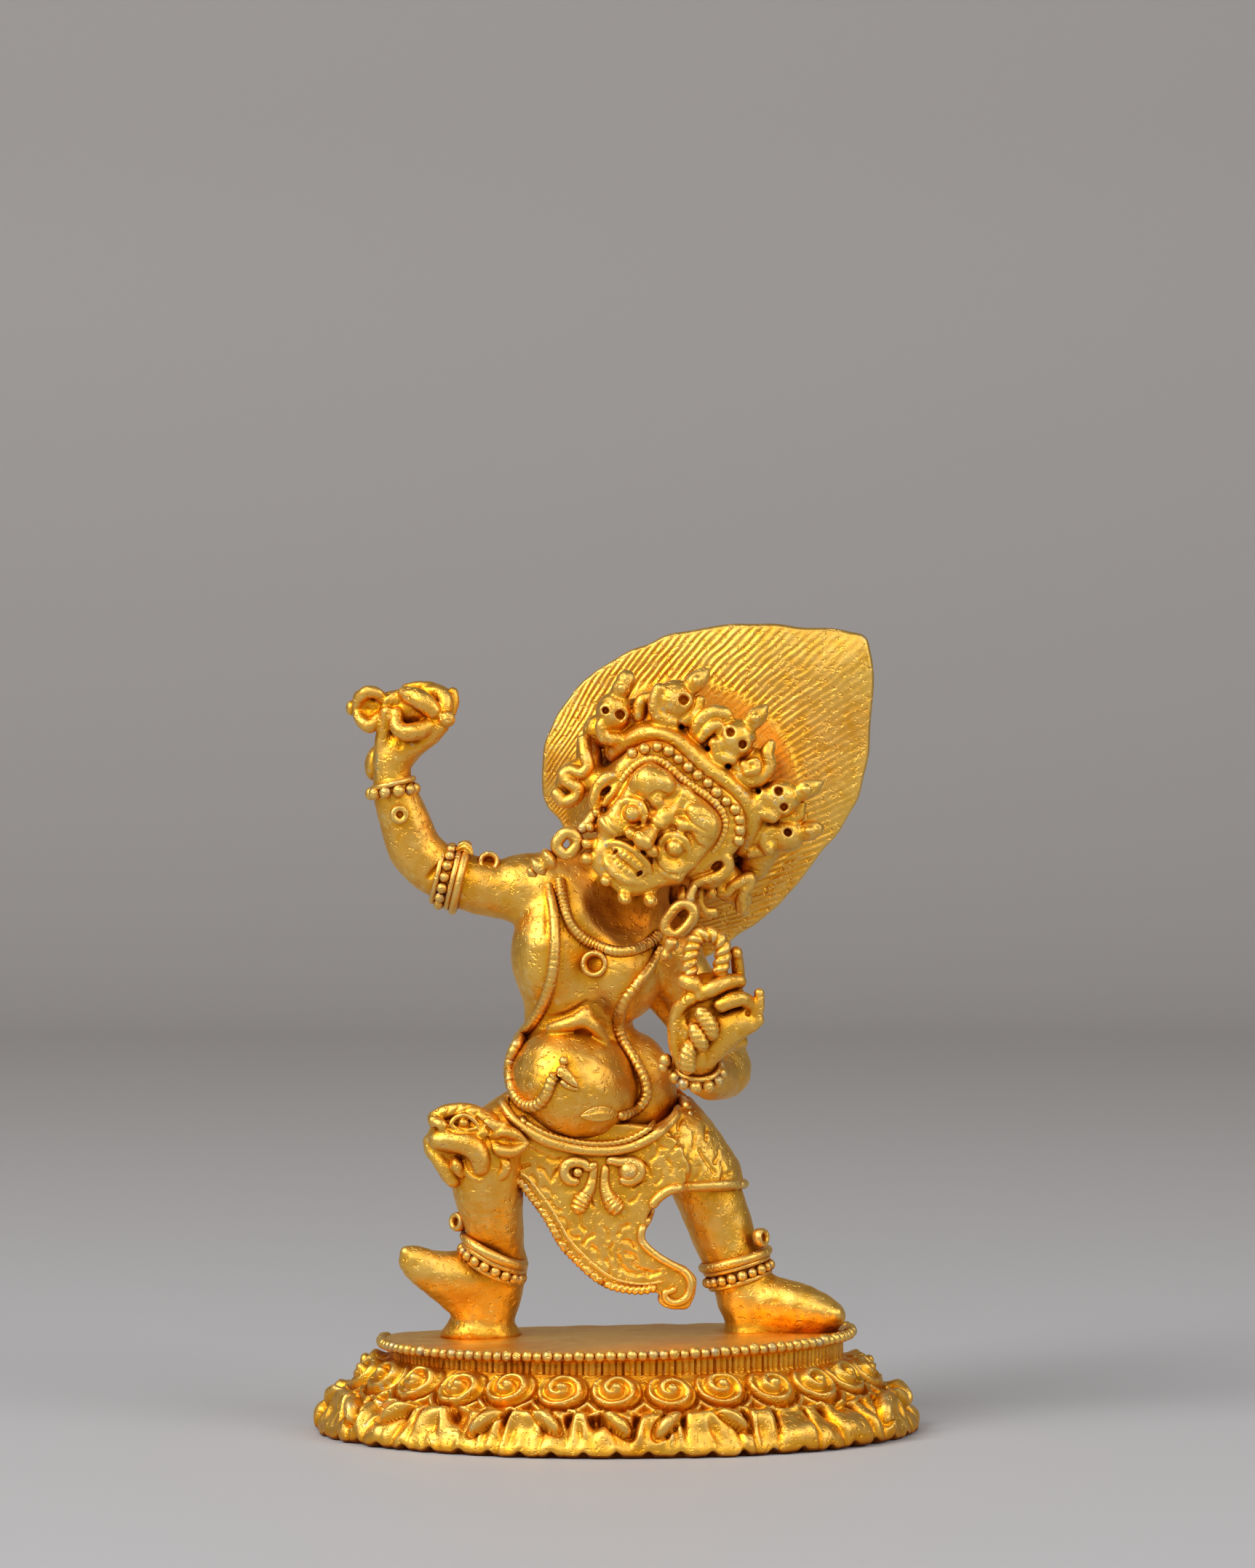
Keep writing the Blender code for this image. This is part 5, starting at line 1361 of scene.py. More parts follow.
@functools.lru_cache(maxsize=None)
def raised_hand():
    """The raised hand, its palm to the viewer with the fingers curled over the vajra, whose prongs
    spread to both sides."""
    clay = Clay((-20.2, -4.6, 38.6), (-10.6, 3.4, 47.8), 0.088)
    clay.rod([(-16.1, -1.0, 39.2, 1.36), (-16.15, -1.0, 40.6, 1.3), (-15.95, -1.0, 41.8, 1.34),
              (-15.2, -1.0, 42.9, 1.2)], 0.3)
    clay.rod([(-15.4, -1.0, 42.2, 1.2), (-14.2, -1.0, 43.2, 1.1), (-13.2, -1.2, 44.2, 1.0)], 0.4)
    clay.rod([(-16.7, -1.2, 41.4, 0.75), (-16.75, -1.5, 42.8, 0.58), (-16.6, -1.8, 44.0, 0.48),
              (-16.5, -2.0, 44.9, 0.44)], 0.25)
    clay.lump((-17.45, 0.1, 41.2), (0.66, 0.9, 1.2), 0.12, 8)
    clay.lump((-14.6, -0.9, 44.9), (2.5, 1.2, 1.55), 0.4)
    clay.rod([(-14.6, -1.6, 42.3, 0.6), (-13.4, -2.0, 43.1, 0.6), (-12.6, -2.5, 43.9, 0.55)], 0.25)
    clay.lump((-12.15, -2.9, 44.4), (0.56, 0.52, 0.56), 0.1)
    clay.lump((-14.0, -1.4, 45.3), (1.9, 1.1, 1.25), 0.3)
    clay.pit((-14.6, -3.2, 44.8), (0.8, 0.8, 0.4), 0.25)
    clay.furrow([(-15.5, -2.6, 42.5, 0.4), (-15.3, -2.7, 42.95, 0.42), (-14.4, -2.9, 43.15, 0.22)], 0.12)
    clay.rod([(-15.75, -2.1, 44.8, 0.46), (-15.75, -2.5, 43.95, 0.52), (-15.2, -2.8, 43.5, 0.58),
              (-14.5, -2.9, 43.5, 0.6), (-13.8, -2.7, 43.75, 0.58), (-13.1, -2.4, 44.1, 0.5)], 0.2)
    clay.rod([(-15.2, -1.9, 46.2, 0.5), (-14.5, -2.4, 46.0, 0.66), (-13.8, -2.7, 45.6, 0.7),
              (-13.1, -2.7, 45.0, 0.56)], 0.14)
    clay.rod([(-13.6, -1.7, 46.4, 0.42), (-12.8, -1.9, 46.3, 0.5), (-12.3, -2.2, 45.8, 0.5),
              (-12.25, -2.4, 45.2, 0.46)], 0.16)
    clay.rod([(-15.1, -1.3, 46.6, 0.32), (-14.2, -1.5, 46.75, 0.34), (-13.2, -1.5, 46.7, 0.32),
              (-12.4, -1.4, 46.4, 0.3)], 0.12)
    clay.rod([(-11.75, -1.2, 46.3, 0.34), (-11.7, -1.3, 45.6, 0.34), (-11.85, -1.4, 44.9, 0.3)], 0.12)
    clay.rod([(-12.6, -0.8, 45.6, 0.7), (-12.0, -1.0, 45.6, 0.5)], 0.3)
    vajra_prongs(clay)
    clay.depth -= 0.05
    hammered(clay, 0.016, 0.8, 38)
    return clay


def vajra_prongs(clay):
    """The head of the vajra: a core in four curved prongs, and the grip under the fingers."""
    clay.rod([(-17.6, -0.7, 45.3, 0.7), (-16.6, -0.9, 45.6, 0.7), (-15.4, -0.7, 46.0, 0.5),
              (-13.8, -0.5, 46.0, 0.5), (-12.4, -0.6, 45.8, 0.5)], 0.2)
    clay.lump((-17.8, -0.55, 45.1), (1.15, 1.0, 1.25), 0.2)
    clay.lump((-18.2, -0.9, 45.9), (0.75, 0.8, 0.6), 0.2)
    clay.lump((-17.8, -1.0, 44.2), (0.7, 0.8, 0.6), 0.2)
    clay.pit((-17.9, -1.95, 45.1), (0.34, 0.6, 0.34), 0.25)
    prongs = [[(-16.6, -1.6, 45.7, 0.32), (-17.2, -1.8, 46.25, 0.38), (-17.9, -1.8, 46.35, 0.42),
               (-18.45, -1.6, 45.9, 0.38), (-18.65, -1.3, 45.3, 0.32)],
              [(-16.8, -1.5, 44.9, 0.32), (-17.2, -1.7, 44.35, 0.42), (-17.75, -1.8, 43.9, 0.46),
               (-18.35, -1.6, 44.3, 0.4), (-18.65, -1.3, 44.9, 0.32)],
              [(-16.9, 0.4, 45.9, 0.3), (-17.6, 0.9, 46.1, 0.36), (-18.4, 0.7, 45.8, 0.32),
               (-18.8, 0.1, 45.3, 0.28)], [(-17.0, 0.3, 44.8, 0.3), (-17.8, 0.8, 44.3, 0.36),
                                           (-18.4, 0.6, 44.5, 0.3), (-18.8, 0.0, 45.1, 0.26)]]
    for prong in prongs:
        clay.rod(prong, 0.14)
    clay.rod([(-18.3, -1.1, 45.7, 0.18), (-17.7, -1.3, 45.4, 0.2), (-17.1, -1.4, 45.3, 0.18)], 0.1)
    clay.rod([(-18.4, -1.0, 44.9, 0.18), (-17.9, -1.2, 44.9, 0.2), (-17.3, -1.4, 44.95, 0.18)], 0.1)
    clay.lump((-19.1, -0.8, 45.2), (0.32, 0.4, 0.5), 0.08)
    for shift in (0.0, 0.38, 0.76):
        clay.rod([(-16.9 + shift, -1.7, 44.9 + 0.2 * shift, 0.15), (-16.5 + shift, -1.95, 45.7, 0.18),
                  (-15.9 + shift, -1.8, 46.2, 0.17), (-15.2 + shift, -1.5, 46.5, 0.12)], 0.08)


NOOSE = [(7.25, 26.1), (7.42, 26.9), (7.55, 27.7), (7.5, 28.4), (7.1, 28.98), (6.5, 29.18), (5.85, 29.0),
         (5.42, 28.4), (5.22, 27.6), (5.18, 26.8), (5.3, 26.0)]


@functools.lru_cache(maxsize=None)
def lowered_hand():
    """The hand before the chest, with a small double-ended vajra across it and the fingers hooked
    over the ropes."""
    clay = Clay((2.4, -10.4, 17.0), (11.4, -3.6, 29.4), 0.088)
    clay.rod([(5.6, -6.2, 20.1, 1.35), (5.5, -6.8, 21.2, 1.4), (5.4, -7.0, 22.5, 1.45),
              (5.8, -6.9, 23.8, 1.5), (6.4, -6.8, 25.0, 1.4)], 0.3, flat=0.85)
    clay.rod([(4.75, -7.2, 20.0, 0.55), (4.35, -7.3, 21.3, 0.6), (4.25, -7.4, 22.6, 0.6),
              (4.4, -7.6, 23.6, 0.55), (4.8, -7.9, 24.2, 0.52), (5.25, -8.1, 24.6, 0.5)], 0.18)
    clay.pit((5.3, -8.6, 23.3), (0.6, 0.8, 0.8), 0.25)
    clay.rod([(6.3, -7.0, 20.2, 0.7), (7.1, -7.1, 21.5, 1.1), (7.9, -7.1, 22.5, 1.3),
              (8.8, -6.9, 23.0, 1.15)], 0.2, flat=0.8)
    clay.lump((7.0, -6.6, 24.7), (2.1, 1.0, 1.6), 0.3)
    clay.rod([(6.0, -8.2, 24.95, 0.52), (6.9, -8.3, 25.4, 0.56), (7.8, -8.0, 25.8, 0.56),
              (8.7, -7.4, 25.85, 0.5)], 0.12)
    clay.rod([(7.4, -8.2, 24.2, 0.5), (8.2, -8.2, 24.55, 0.54), (9.0, -7.8, 24.6, 0.5),
              (9.6, -7.2, 24.1, 0.46), (9.8, -7.0, 23.5, 0.44)], 0.12)
    clay.rod([(4.85, -7.9, 25.9, 0.55), (5.4, -8.2, 25.7, 0.6), (5.9, -8.2, 25.3, 0.45)], 0.14)
    clay.rod([(10.0, -7.2, 23.1, 0.34), (10.15, -7.3, 24.2, 0.34), (10.15, -7.3, 25.0, 0.32)], 0.12)
    clay.rod([(10.1, -7.2, 23.0, 0.36), (9.5, -7.1, 22.7, 0.5), (8.8, -7.0, 22.9, 0.6)], 0.2)
    clay.lump((9.3, -6.5, 23.7), (0.6, 0.5, 0.7), 0.2)
    clay.pit((9.35, -8.0, 23.6), (0.3, 0.7, 0.3), 0.12)
    clay.rod([(8.5, -7.2, 27.9, 0.4), (8.6, -7.0, 27.1, 0.42), (8.7, -6.8, 26.2, 0.42)], 0.12)
    clay.lump((8.5, -7.35, 27.85), (0.44, 0.46, 0.42), 0.05)
    clay.rod([(7.4, -6.6, 21.4, 0.9), (8.6, -6.2, 21.6, 0.6), (9.0, -6.0, 21.4, 0.35)], 0.2)
    clay.furrow([(5.8, -8.8, 24.4, 0.14), (6.3, -8.9, 24.5, 0.16), (6.9, -8.8, 24.6, 0.12)], 0.1)
    clay.depth -= 0.04
    hammered(clay, 0.016, 0.8, 40)
    return clay


def noose():
    """The rope: a noose standing up from the fist and three overlapping turns of it hanging below."""
    loop = smooth_line([(x, -7.9, z) for x, z in NOOSE], 14)
    shapes = [rope(loop, 0.6, 2, 1.3, 0.2, 18)]
    for turns in ([(5.75, -8.3, 24.1, 0.3), (6.05, -8.6, 23.6, 0.56), (6.5, -8.65, 22.9, 0.64),
                   (6.72, -8.5, 22.2, 0.56), (6.7, -8.2, 21.7, 0.3)],
                  [(5.25, -8.4, 23.0, 0.26), (5.6, -8.6, 22.4, 0.54), (5.95, -8.6, 21.6, 0.6),
                   (6.2, -8.3, 20.9, 0.34)], [(5.35, -8.3, 21.8, 0.3), (5.15, -8.55, 21.2, 0.54),
                                              (5.0, -8.55, 20.4, 0.64), (5.1, -8.4, 19.7, 0.6),
                                              (5.15, -8.2, 19.4, 0.44)]):
        line = smooth_line(turns, 12)
        run = run_along(line[:, :3])
        angle = turns_of(14)
        creases = 1 + 0.07 * np.cos(2 * math.pi * run[:, None] / 0.36 + 3 * angle)
        shapes.append(cord(line[:, :3], line[:, 3:] * creases, TO_VIEWER, 14))
    return gathered(shapes)


# Bangles, armlets and settings

def bangle(centre, axis, radius, bulge, rod, sides=10):
    """A plain ring round a limb."""
    return cord(ring_round(centre, axis, radius, bulge, 56), rod, axis, sides, closed=True)


def bead_ring(centre, axis, radius, bulge, size, seed=1):
    """Beads side by side round a limb, each worn a little differently."""
    count = int(round(2 * math.pi * radius * (1 + bulge) / 2 / (size * 2.04)))
    centres = ring_round(centre, axis, radius, bulge, count)
    wear = noise(np.arange(count) * 0.7, size=1.0, seed=seed)
    return beads(centres, size * (1 + 0.08 * wear), 12, 7)


def bangles(sizes):
    """Rings and bead rows at the ankles, the wrists and the upper arm, with their settings."""
    across = 1.14 * sizes.bead_diameter / MM / 2
    shapes = [
        bangle((-8.8, -1.9, 6.2), (0.5, -0.1, 1.0), 2.35, 1.0, 0.38, 12),
        bangle((-8.85, -1.8, 5.7), (0.5, -0.1, 1.0), 2.3, 1.0, 0.24),
        bead_ring((-8.95, -1.6, 5.2), (0.5, -0.1, 1.0), 2.36, 1.0, across * 0.95, 51),
        bangle((-9.0, -1.5, 4.8), (0.5, -0.1, 1.0), 2.2, 1.0, 0.24),
        bangle((8.6, 0.0, 5.35), (-0.28, 0.0, 1.0), 2.42, 1.0, 0.36, 12),
        bangle((8.7, 0.0, 4.9), (-0.28, 0.0, 1.0), 2.3, 1.0, 0.22),
        bead_ring((8.85, 0.0, 4.3), (-0.3, 0.0, 1.0), 2.36, 1.0, across * 0.9, 52),
        bangle((8.95, 0.0, 3.85), (-0.3, 0.0, 1.0), 2.2, 1.0, 0.22),
        bead_ring((-16.1, -1.0, 39.2), (-0.12, 0.0, 1.0), 1.55, 1.0, across * 1.08, 53),
        bangle((-16.1, -1.0, 39.75), (-0.25, 0.0, 1.0), 1.5, 1.0, 0.24),
        bangle((-11.3, 0.05, 32.75), (1.0, 0.0, -0.24), 2.28, 1.0, 0.3, 12),
        bangle((-11.75, 0.05, 32.9), (1.0, 0.0, -0.24), 2.12, 1.0, 0.26),
        bead_ring((-12.35, 0.05, 33.05), (1.0, 0.0, -0.24), 2.12, 1.0, across * 0.92, 54),
        bangle((-12.85, 0.05, 33.2), (1.0, 0.0, -0.24), 2.02, 1.0, 0.22),
    ]
    shapes.append(bead_ring((5.75, -6.0, 19.35), (0.1, -0.75, 1.0), 1.75, 1.0, across * 1.0, 55))
    shapes.append(bangle((5.75, -6.0, 19.75), (0.1, -0.75, 1.0), 1.55, 1.0, 0.24))
    shapes.append(beads([(3.5, -6.8, 20.2), (3.35, -6.7, 19.7)], [0.5, 0.42], 14, 9))
    arm = trunk()
    for spot, axis, radius, hole in (((-9.2, 34.1), (0.1, -1, 0.25), 0.78, 0.52),
                                     ((-15.55, 37.55), (0.15, -1, 0.0), 0.68, 0.34)):
        shapes.append(setting(spot_on(arm, spot, 0.12), axis, radius, hole))
    shapes.append(setting((-11.45, -2.7, 8.3), (-0.8, -0.75, 0.1), 0.68, 0.42))
    shapes.append(setting((10.5, -1.9, 7.1), (0.85, -0.6, 0.1), 0.66, 0.42))
    shapes.append(setting((-10.95, -0.4, 35.3), (-0.1, -0.4, 1.0), 0.5, 0.4))
    shapes.append(leaf(smooth_line([(-10.3, -1.4, 34.6), (-10.9, -1.2, 35.2), (-11.6, -1.0, 34.9)], 6), 0.4,
                       0.3))
    return gathered(shapes)


# Materials

def linear(code):
    """An sRGB hex colour as the linear RGBA that the shader takes."""
    parts = [int(code[i:i + 2], 16) / 255 for i in (1, 3, 5)]
    return (*[c / 12.92 if c <= 0.04045 else ((c + 0.055) / 1.055) ** 2.4 for c in parts], 1.0)


def node(tree, kind, settings, inputs):
    """Adds a node with its settings; each input is a value or another node's output."""
    made = tree.nodes.new(kind)
    for name, value in settings.items():
        setattr(made, name, value)
    for name, value in inputs.items():
        if isinstance(value, bpy.types.NodeSocket):
            tree.links.new(value, made.inputs[name])
        else:
            made.inputs[name].default_value = value
    return made


def maths(tree, operation, *values):
    """The result of a Math node on values or other nodes' outputs."""
    return node(tree, "ShaderNodeMath", {"operation": operation}, dict(enumerate(values))).outputs[0]


def mixed(tree, share, a, b):
    """The colour between a and b at a share."""
    made = node(tree, "ShaderNodeMix", {"data_type": "RGBA"}, {0: share, 6: a, 7: b})
    return made.outputs[2]


def ranged(tree, value, low, high, to_low=0.0, to_high=1.0):
    """A value carried from one range to another, and held at its ends."""
    made = node(tree, "ShaderNodeMapRange", {},
                {"Value": value, "From Min": low, "From Max": high, "To Min": to_low, "To Max": to_high})
    return made.outputs["Result"]


# Pools that darken the hollow colours: under the chin, a painted shadow where the head shades the neck,
# and on the nimbus between the crown's skulls. Each has its centre and its reach in mm.
DARK_POOLS = [((1.2, -1.4, 31.3), 4.8), ((4.6, -1.0, 29.6), 2.6), ((1.55, -0.5, 44.7), 2.0),
                 ((5.6, -0.5, 43.4), 1.6), ((11.6, 0.0, 40.8), 2.6), ((13.3, 0.5, 38.2), 1.8)]


def pool_darkness(tree, place):
    """How dark a place is made: one near the middle of a pool, and none beyond its reach."""
    darkness = 0.0
    for centre, reach in DARK_POOLS:
        away = node(tree, "ShaderNodeVectorMath", {"operation": "DISTANCE"},
                    {0: place, 1: tuple(to_frame(np.array([centre]))[0])}).outputs["Value"]
        share = ranged(tree, away, reach * MM, 0.4 * reach * MM)
        darkness = maths(tree, "MAXIMUM", darkness, share)
    return darkness


def fire_gilding(name, colours, hollow=1.0, wear=1.0, grain=1.0):
    """Fire gilding over cast brass: mercury-gilt, rubbed bright on what stands out. It gives the eye a
    soft satin gold, pale and a little silvery where hands have worn it, with a painted pale sheen on
    open surfaces, and orange to brown in the hollows: partly their patina, partly painted shade
    found by ambient occlusion, darkened further in a few pools."""
    material = bpy.data.materials.new(name)
    material.use_nodes = True
    tree = material.node_tree
    shader = tree.nodes["Principled BSDF"]
    place = node(tree, "ShaderNodeTexCoord", {}, {}).outputs["Object"]

    def cloud(size, detail=3.0, rough=0.55):
        """Noise whose lumps are about size mm across."""
        return node(tree, "ShaderNodeTexNoise", {}, {"Vector": place, "Scale": 1000 / size,
                                                     "Detail": detail, "Roughness": rough}).outputs["Fac"]

    broad, patch, fine, pits = cloud(6.0), cloud(1.1, 4.0, 0.65), cloud(0.24, 4.0, 0.65), cloud(0.4, 2.0)
    # Painted shade: ambient occlusion finds the hollows, which turn amber and then dark brown, partly their
    # patina and partly the shade that falls in them
    open_sky = node(tree, "ShaderNodeAmbientOcclusion", {"samples": 8},
                    {"Distance": 1.3 * MM}).outputs["AO"]
    shut = ranged(tree, open_sky, 0.84, 0.3)
    shut = maths(tree, "MULTIPLY_ADD", patch, 0.5, maths(tree, "SUBTRACT", shut, 0.25))
    # The painted shadow under the chin and the darkened pools on the nimbus push the hollow colours darker
    shut = maths(tree, "MULTIPLY_ADD", pool_darkness(tree, place), 0.8, shut)
    soot_and_shade = ranged(tree, shut, 0.15, 0.85, 0.0, hollow)
    deep = ranged(tree, shut, 0.78, 1.1, 0.0, 0.9 * hollow)
    point = node(tree, "ShaderNodeNewGeometry", {}, {}).outputs["Pointiness"]
    ridge = ranged(tree, point, 0.505, 0.56)
    rubbed = maths(tree, "MULTIPLY", ranged(tree, point, 0.54, 0.6, 0.0, 0.7 * wear),
                   ranged(tree, patch, 0.52, 0.66))
    # Painted sheen: open surfaces that the occlusion finds unshaded are coloured pale gold
    painted_sheen = maths(tree, "MULTIPLY", ranged(tree, open_sky, 0.86, 1.0, 0.0, 0.55),
                 ranged(tree, patch, 0.25, 0.75))

    colour = mixed(tree, ranged(tree, broad, 0.35, 0.65), (*colours.gold, 1.0), (*colours.warm_gold, 1.0))
    for share, tone in ((painted_sheen, colours.pale_gold),
                        (ranged(tree, ridge, 0.0, 1.0, 0.0, 0.4), colours.pale_gold), (soot_and_shade, colours.amber),
                        (deep, colours.soot_and_shade), (rubbed, colours.worn)):
        colour = mixed(tree, share, colour, (*tone, 1.0))
    tree.links.new(colour, shader.inputs["Base Color"])

    rough = maths(tree, "MULTIPLY_ADD", patch, 0.22, ranged(tree, soot_and_shade, 0.0, 1.0, 0.33, 0.48))
    tree.links.new(rough, shader.inputs["Roughness"])
    shader.inputs["Metallic"].default_value = 1.0

    lumps = maths(tree, "MULTIPLY_ADD", patch, 0.9, ranged(tree, pits, 0.3, 0.42))
    height = maths(tree, "MULTIPLY_ADD", fine, 0.6, lumps)
    bumped = node(tree, "ShaderNodeBump", {},
                  {"Strength": 0.75 * grain, "Distance": 0.06 * MM, "Height": height})
    tree.links.new(bumped.outputs["Normal"], shader.inputs["Normal"])
    return material


# What a user would change

def length_of(name, description, default):
    """A length that the user can change, in metres."""
    return bpy.props.FloatProperty(name=name, description=description, default=default, precision=5,
                                   unit="LENGTH")


def tone_of(name, description, code):
    """A colour that the user can change."""
    return bpy.props.FloatVectorProperty(name=name, description=description, subtype="COLOR",
                                         default=linear(code)[:3], min=0, max=1)


class CastingSizes(bpy.types.PropertyGroup):
    """Counts and sizes of the casting."""
    scroll_count: bpy.props.IntProperty(
        name="Scrolls", description="Scrolls round the lotus base", default=24, min=12, max=40)
    flute_pitch: length_of("Flute Pitch", "Distance from one upright flute of the drum to the next", 0.0005)
    bead_diameter: length_of("Bead Diameter", "Width of one bead on the rim of the plate", 0.00076)
    hair_locks: bpy.props.IntProperty(
        name="Hair Locks", description="Combed strands in a full turn of the nimbus",
        default=440, min=100, max=600)
    nimbus_thickness: length_of("Nimbus Thickness", "Thickness of the nimbus at its rim", 0.0013)


class GildingColours(bpy.types.PropertyGroup):
    """Colours of the gilding and of the studio card."""
    gold: tone_of("Gold", "Open gilding", "#EDB236")
    warm_gold: tone_of("Warm Gold", "Gilding under old varnish", "#E89E16")
    # Pale gold is the burnish on ridges and also the painted sheen on open surfaces
    pale_gold: tone_of("Pale Gold", "Gilding on ridges and beads", "#F6D884")
    # Amber and the darkest tone colour the hollows: partly their patina, partly painted shade
    amber: tone_of("Amber", "Stained gilding in hollows", "#C66C04")
    soot_and_shade: tone_of("Soot", "The darkest hollows", "#662A03")
    worn: tone_of("Worn", "Metal where the gilding is rubbed thin", "#B9AB8E")
    # The card tone holds in front and the darker backdrop tone behind, a painted shade
    card: tone_of("Card", "Studio card under the statue and in front of it", "#B8B7B8")
    backdrop: tone_of("Backdrop", "The same card where it runs up behind the statue", "#B0ABA8")


# Operators

# How dark the hollows are, how worn the ridges, and how deep the grain, on each kind of surface
FINISHES = {
    "fire_gilding": (1.0, 1.0, 1.0),
    "fire_gilding_smooth": (0.9, 0.3, 0.9),
    "fire_gilding_carved": (1.0, 1.2, 1.0),
    "fire_gilding_hair": (0.8, 0.9, 1.1),
}
MATERIALS = {}


def finish_of(context, kind):
    """The gilding of one kind of surface, made once."""
    if kind not in MATERIALS:
        colours = context.scene.gilding_colours
        MATERIALS[kind] = fire_gilding(kind, colours, *FINISHES[kind])
    return MATERIALS[kind]


class GILDED_OT_lotus_base(bpy.types.Operator):
    """Carve the lotus base: petals under scrolls, the fluted drum and the beaded plate"""
    bl_idname = "gilded.lotus_base"
    bl_label = "Lotus Base"

    def execute(self, context):
        sizes = context.scene.casting_sizes
        carved = finish_of(context, "fire_gilding_carved")
        piece("lotus_skirt", on_floor(lotus_skirt(sizes)), carved)
        piece("lotus_drum", on_floor(lotus_drum(sizes)), finish_of(context, "fire_gilding_smooth"))
        piece("rim_beads", on_floor(rim_beads(sizes)), carved)
        return {"FINISHED"}


class GILDED_OT_nimbus(bpy.types.Operator):
    """Draw the nimbus of flaming hair behind the head"""
    bl_idname = "gilded.nimbus"
    bl_label = "Nimbus"

    def execute(self, context):
        piece("nimbus", nimbus(context.scene.casting_sizes), finish_of(context, "fire_gilding_hair"))
        return {"FINISHED"}


class GILDED_OT_trunk(bpy.types.Operator):
    """Model the chest, the belly and the arms"""
    bl_idname = "gilded.trunk"
    bl_label = "Trunk and Arms"

    def execute(self, context):
        body = piece("trunk_and_arms", trunk().skin(), finish_of(context, "fire_gilding_smooth"))
        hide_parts(NODE)
        return {"FINISHED"}


class GILDED_OT_legs(bpy.types.Operator):
    """Model the bent leg and the straight leg"""
    bl_idname = "gilded.legs"
    bl_label = "Legs"

    def execute(self, context):
        smooth = finish_of(context, "fire_gilding_smooth")
        piece("bent_leg", bent_leg().skin(), smooth)
        piece("bent_thigh", bent_thigh().skin(), smooth)
        piece("straight_leg", straight_leg().skin(), smooth)
        return {"FINISHED"}


class GILDED_OT_tiger_skin(bpy.types.Operator):
    """Model the tiger skin with its stripes, borders and bow, and the tiger's mask"""
    bl_idname = "gilded.tiger_skin"
    bl_label = "Tiger Skin"

    def execute(self, context):
        plain = finish_of(context, "fire_gilding")
        piece("tiger_skin", hips().skin(), plain)
        piece("tiger_mask", tiger_head().skin(), plain)
        piece("skin_borders", borders(), plain)
        return {"FINISHED"}


class GILDED_OT_head(bpy.types.Operator):
    """Model the head with its hairline, brow beads and earrings"""
    bl_idname = "gilded.head"
    bl_label = "Head"

    def execute(self, context):
        carved = finish_of(context, "fire_gilding_carved")
        piece("head", on_head(head_clay().skin()), carved)
        piece("brow_beads_and_earrings", face_trim(), carved)
        return {"FINISHED"}


class GILDED_OT_crown(bpy.types.Operator):
    """Model the crown of five skulls"""
    bl_idname = "gilded.crown"
    bl_label = "Crown"

    def execute(self, context):
        piece("crown", on_head(crown_clay().skin()), finish_of(context, "fire_gilding_carved"))
        return {"FINISHED"}


class GILDED_OT_attributes(bpy.types.Operator):
    """Model the hands with the vajra and the noose"""
    bl_idname = "gilded.attributes"
    bl_label = "Hands, Vajra and Noose"

    def execute(self, context):
        plain = finish_of(context, "fire_gilding")
        piece("raised_hand", raised_hand().skin(), plain)
        piece("lowered_hand", lowered_hand().skin(), plain)
        piece("noose", noose(), finish_of(context, "fire_gilding_carved"))
        return {"FINISHED"}


class GILDED_OT_ornaments(bpy.types.Operator):
    """Model the snake, the necklace, the belt, the bangles and the empty settings"""
    bl_idname = "gilded.ornaments"
    bl_label = "Garland and Ornaments"

    def execute(self, context):
        carved = finish_of(context, "fire_gilding_carved")
        piece("garland", garland(), carved)
        piece("belt", belt(), carved)
        piece("bangles", bangles(context.scene.casting_sizes), carved)
        return {"FINISHED"}


# The studio, in mm from the feet: the soft boxes with place, width and watts, the light of the room,
# and the card, which is flat as far as CARD_BEND and then turns up on a quarter circle
SOFT_BOXES = {
    "soft_box_left": ((-450, -360, 500), 405, 4.7),
    "soft_box_right": ((480, -330, 370), 390, 1.8),
    "soft_box_front": ((30, -690, 480), 330, 1.25),
}
STATUE_MIDDLE = (0, 0, 25)
ROOM_TONE, ROOM_STRENGTH = "#D2D1D0", 0.29
CARD_HALF, CARD_FRONT, CARD_BEND, CARD_RADIUS, CARD_TOP = 1200, -900, 450, 150, 1400.0
# Painted shade on the card: its colour runs from the card tone to the darker backdrop tone between these
# depths
CARD_PALE_TO, CARD_GREY_FROM = 60, 400
CAMERA_AT, CAMERA_AIM, CAMERA_LENS = (0.8, -420, 48.4), (0.8, 0, 39.7), 133.6


def card_with_painted_shade(name, near, far, roughness):
    """Seamless studio card of matt paper, pale in front, running to a darker, warmer grey behind: painted
    shade.
    """
    material = bpy.data.materials.new(name)
    material.use_nodes = True
    tree = material.node_tree
    shader = tree.nodes["Principled BSDF"]
    place = node(tree, "ShaderNodeTexCoord", {}, {}).outputs["Object"]
    deep = node(tree, "ShaderNodeSeparateXYZ", {}, {"Vector": place}).outputs["Y"]
    tree.links.new(mixed(tree, ranged(tree, deep, CARD_PALE_TO * MM, CARD_GREY_FROM * MM), near, far),
                   shader.inputs["Base Color"])
    shader.inputs["Roughness"].default_value = roughness
    return material


class GILDED_OT_stage(bpy.types.Operator):
    """Set the pale card, the soft boxes and the camera"""
    bl_idname = "gilded.stage"
    bl_label = "Studio"

    def execute(self, context):
        colours = context.scene.gilding_colours
        card = card_with_painted_shade("studio_card", (*colours.card, 1.0), (*colours.backdrop, 1.0), 0.6)
        studio_card(card)
        for name, (place, width, power) in SOFT_BOXES.items():
            soft_box(name, place, width, power)
        world = bpy.data.worlds.new("studio")
        world.use_nodes = True
        background = world.node_tree.nodes["Background"]
        background.inputs["Color"].default_value = linear(ROOM_TONE)
        background.inputs["Strength"].default_value = ROOM_STRENGTH
        context.scene.world = world
        context.scene.view_settings.view_transform = "Standard"
        context.scene.camera = portrait_camera()
        return {"FINISHED"}


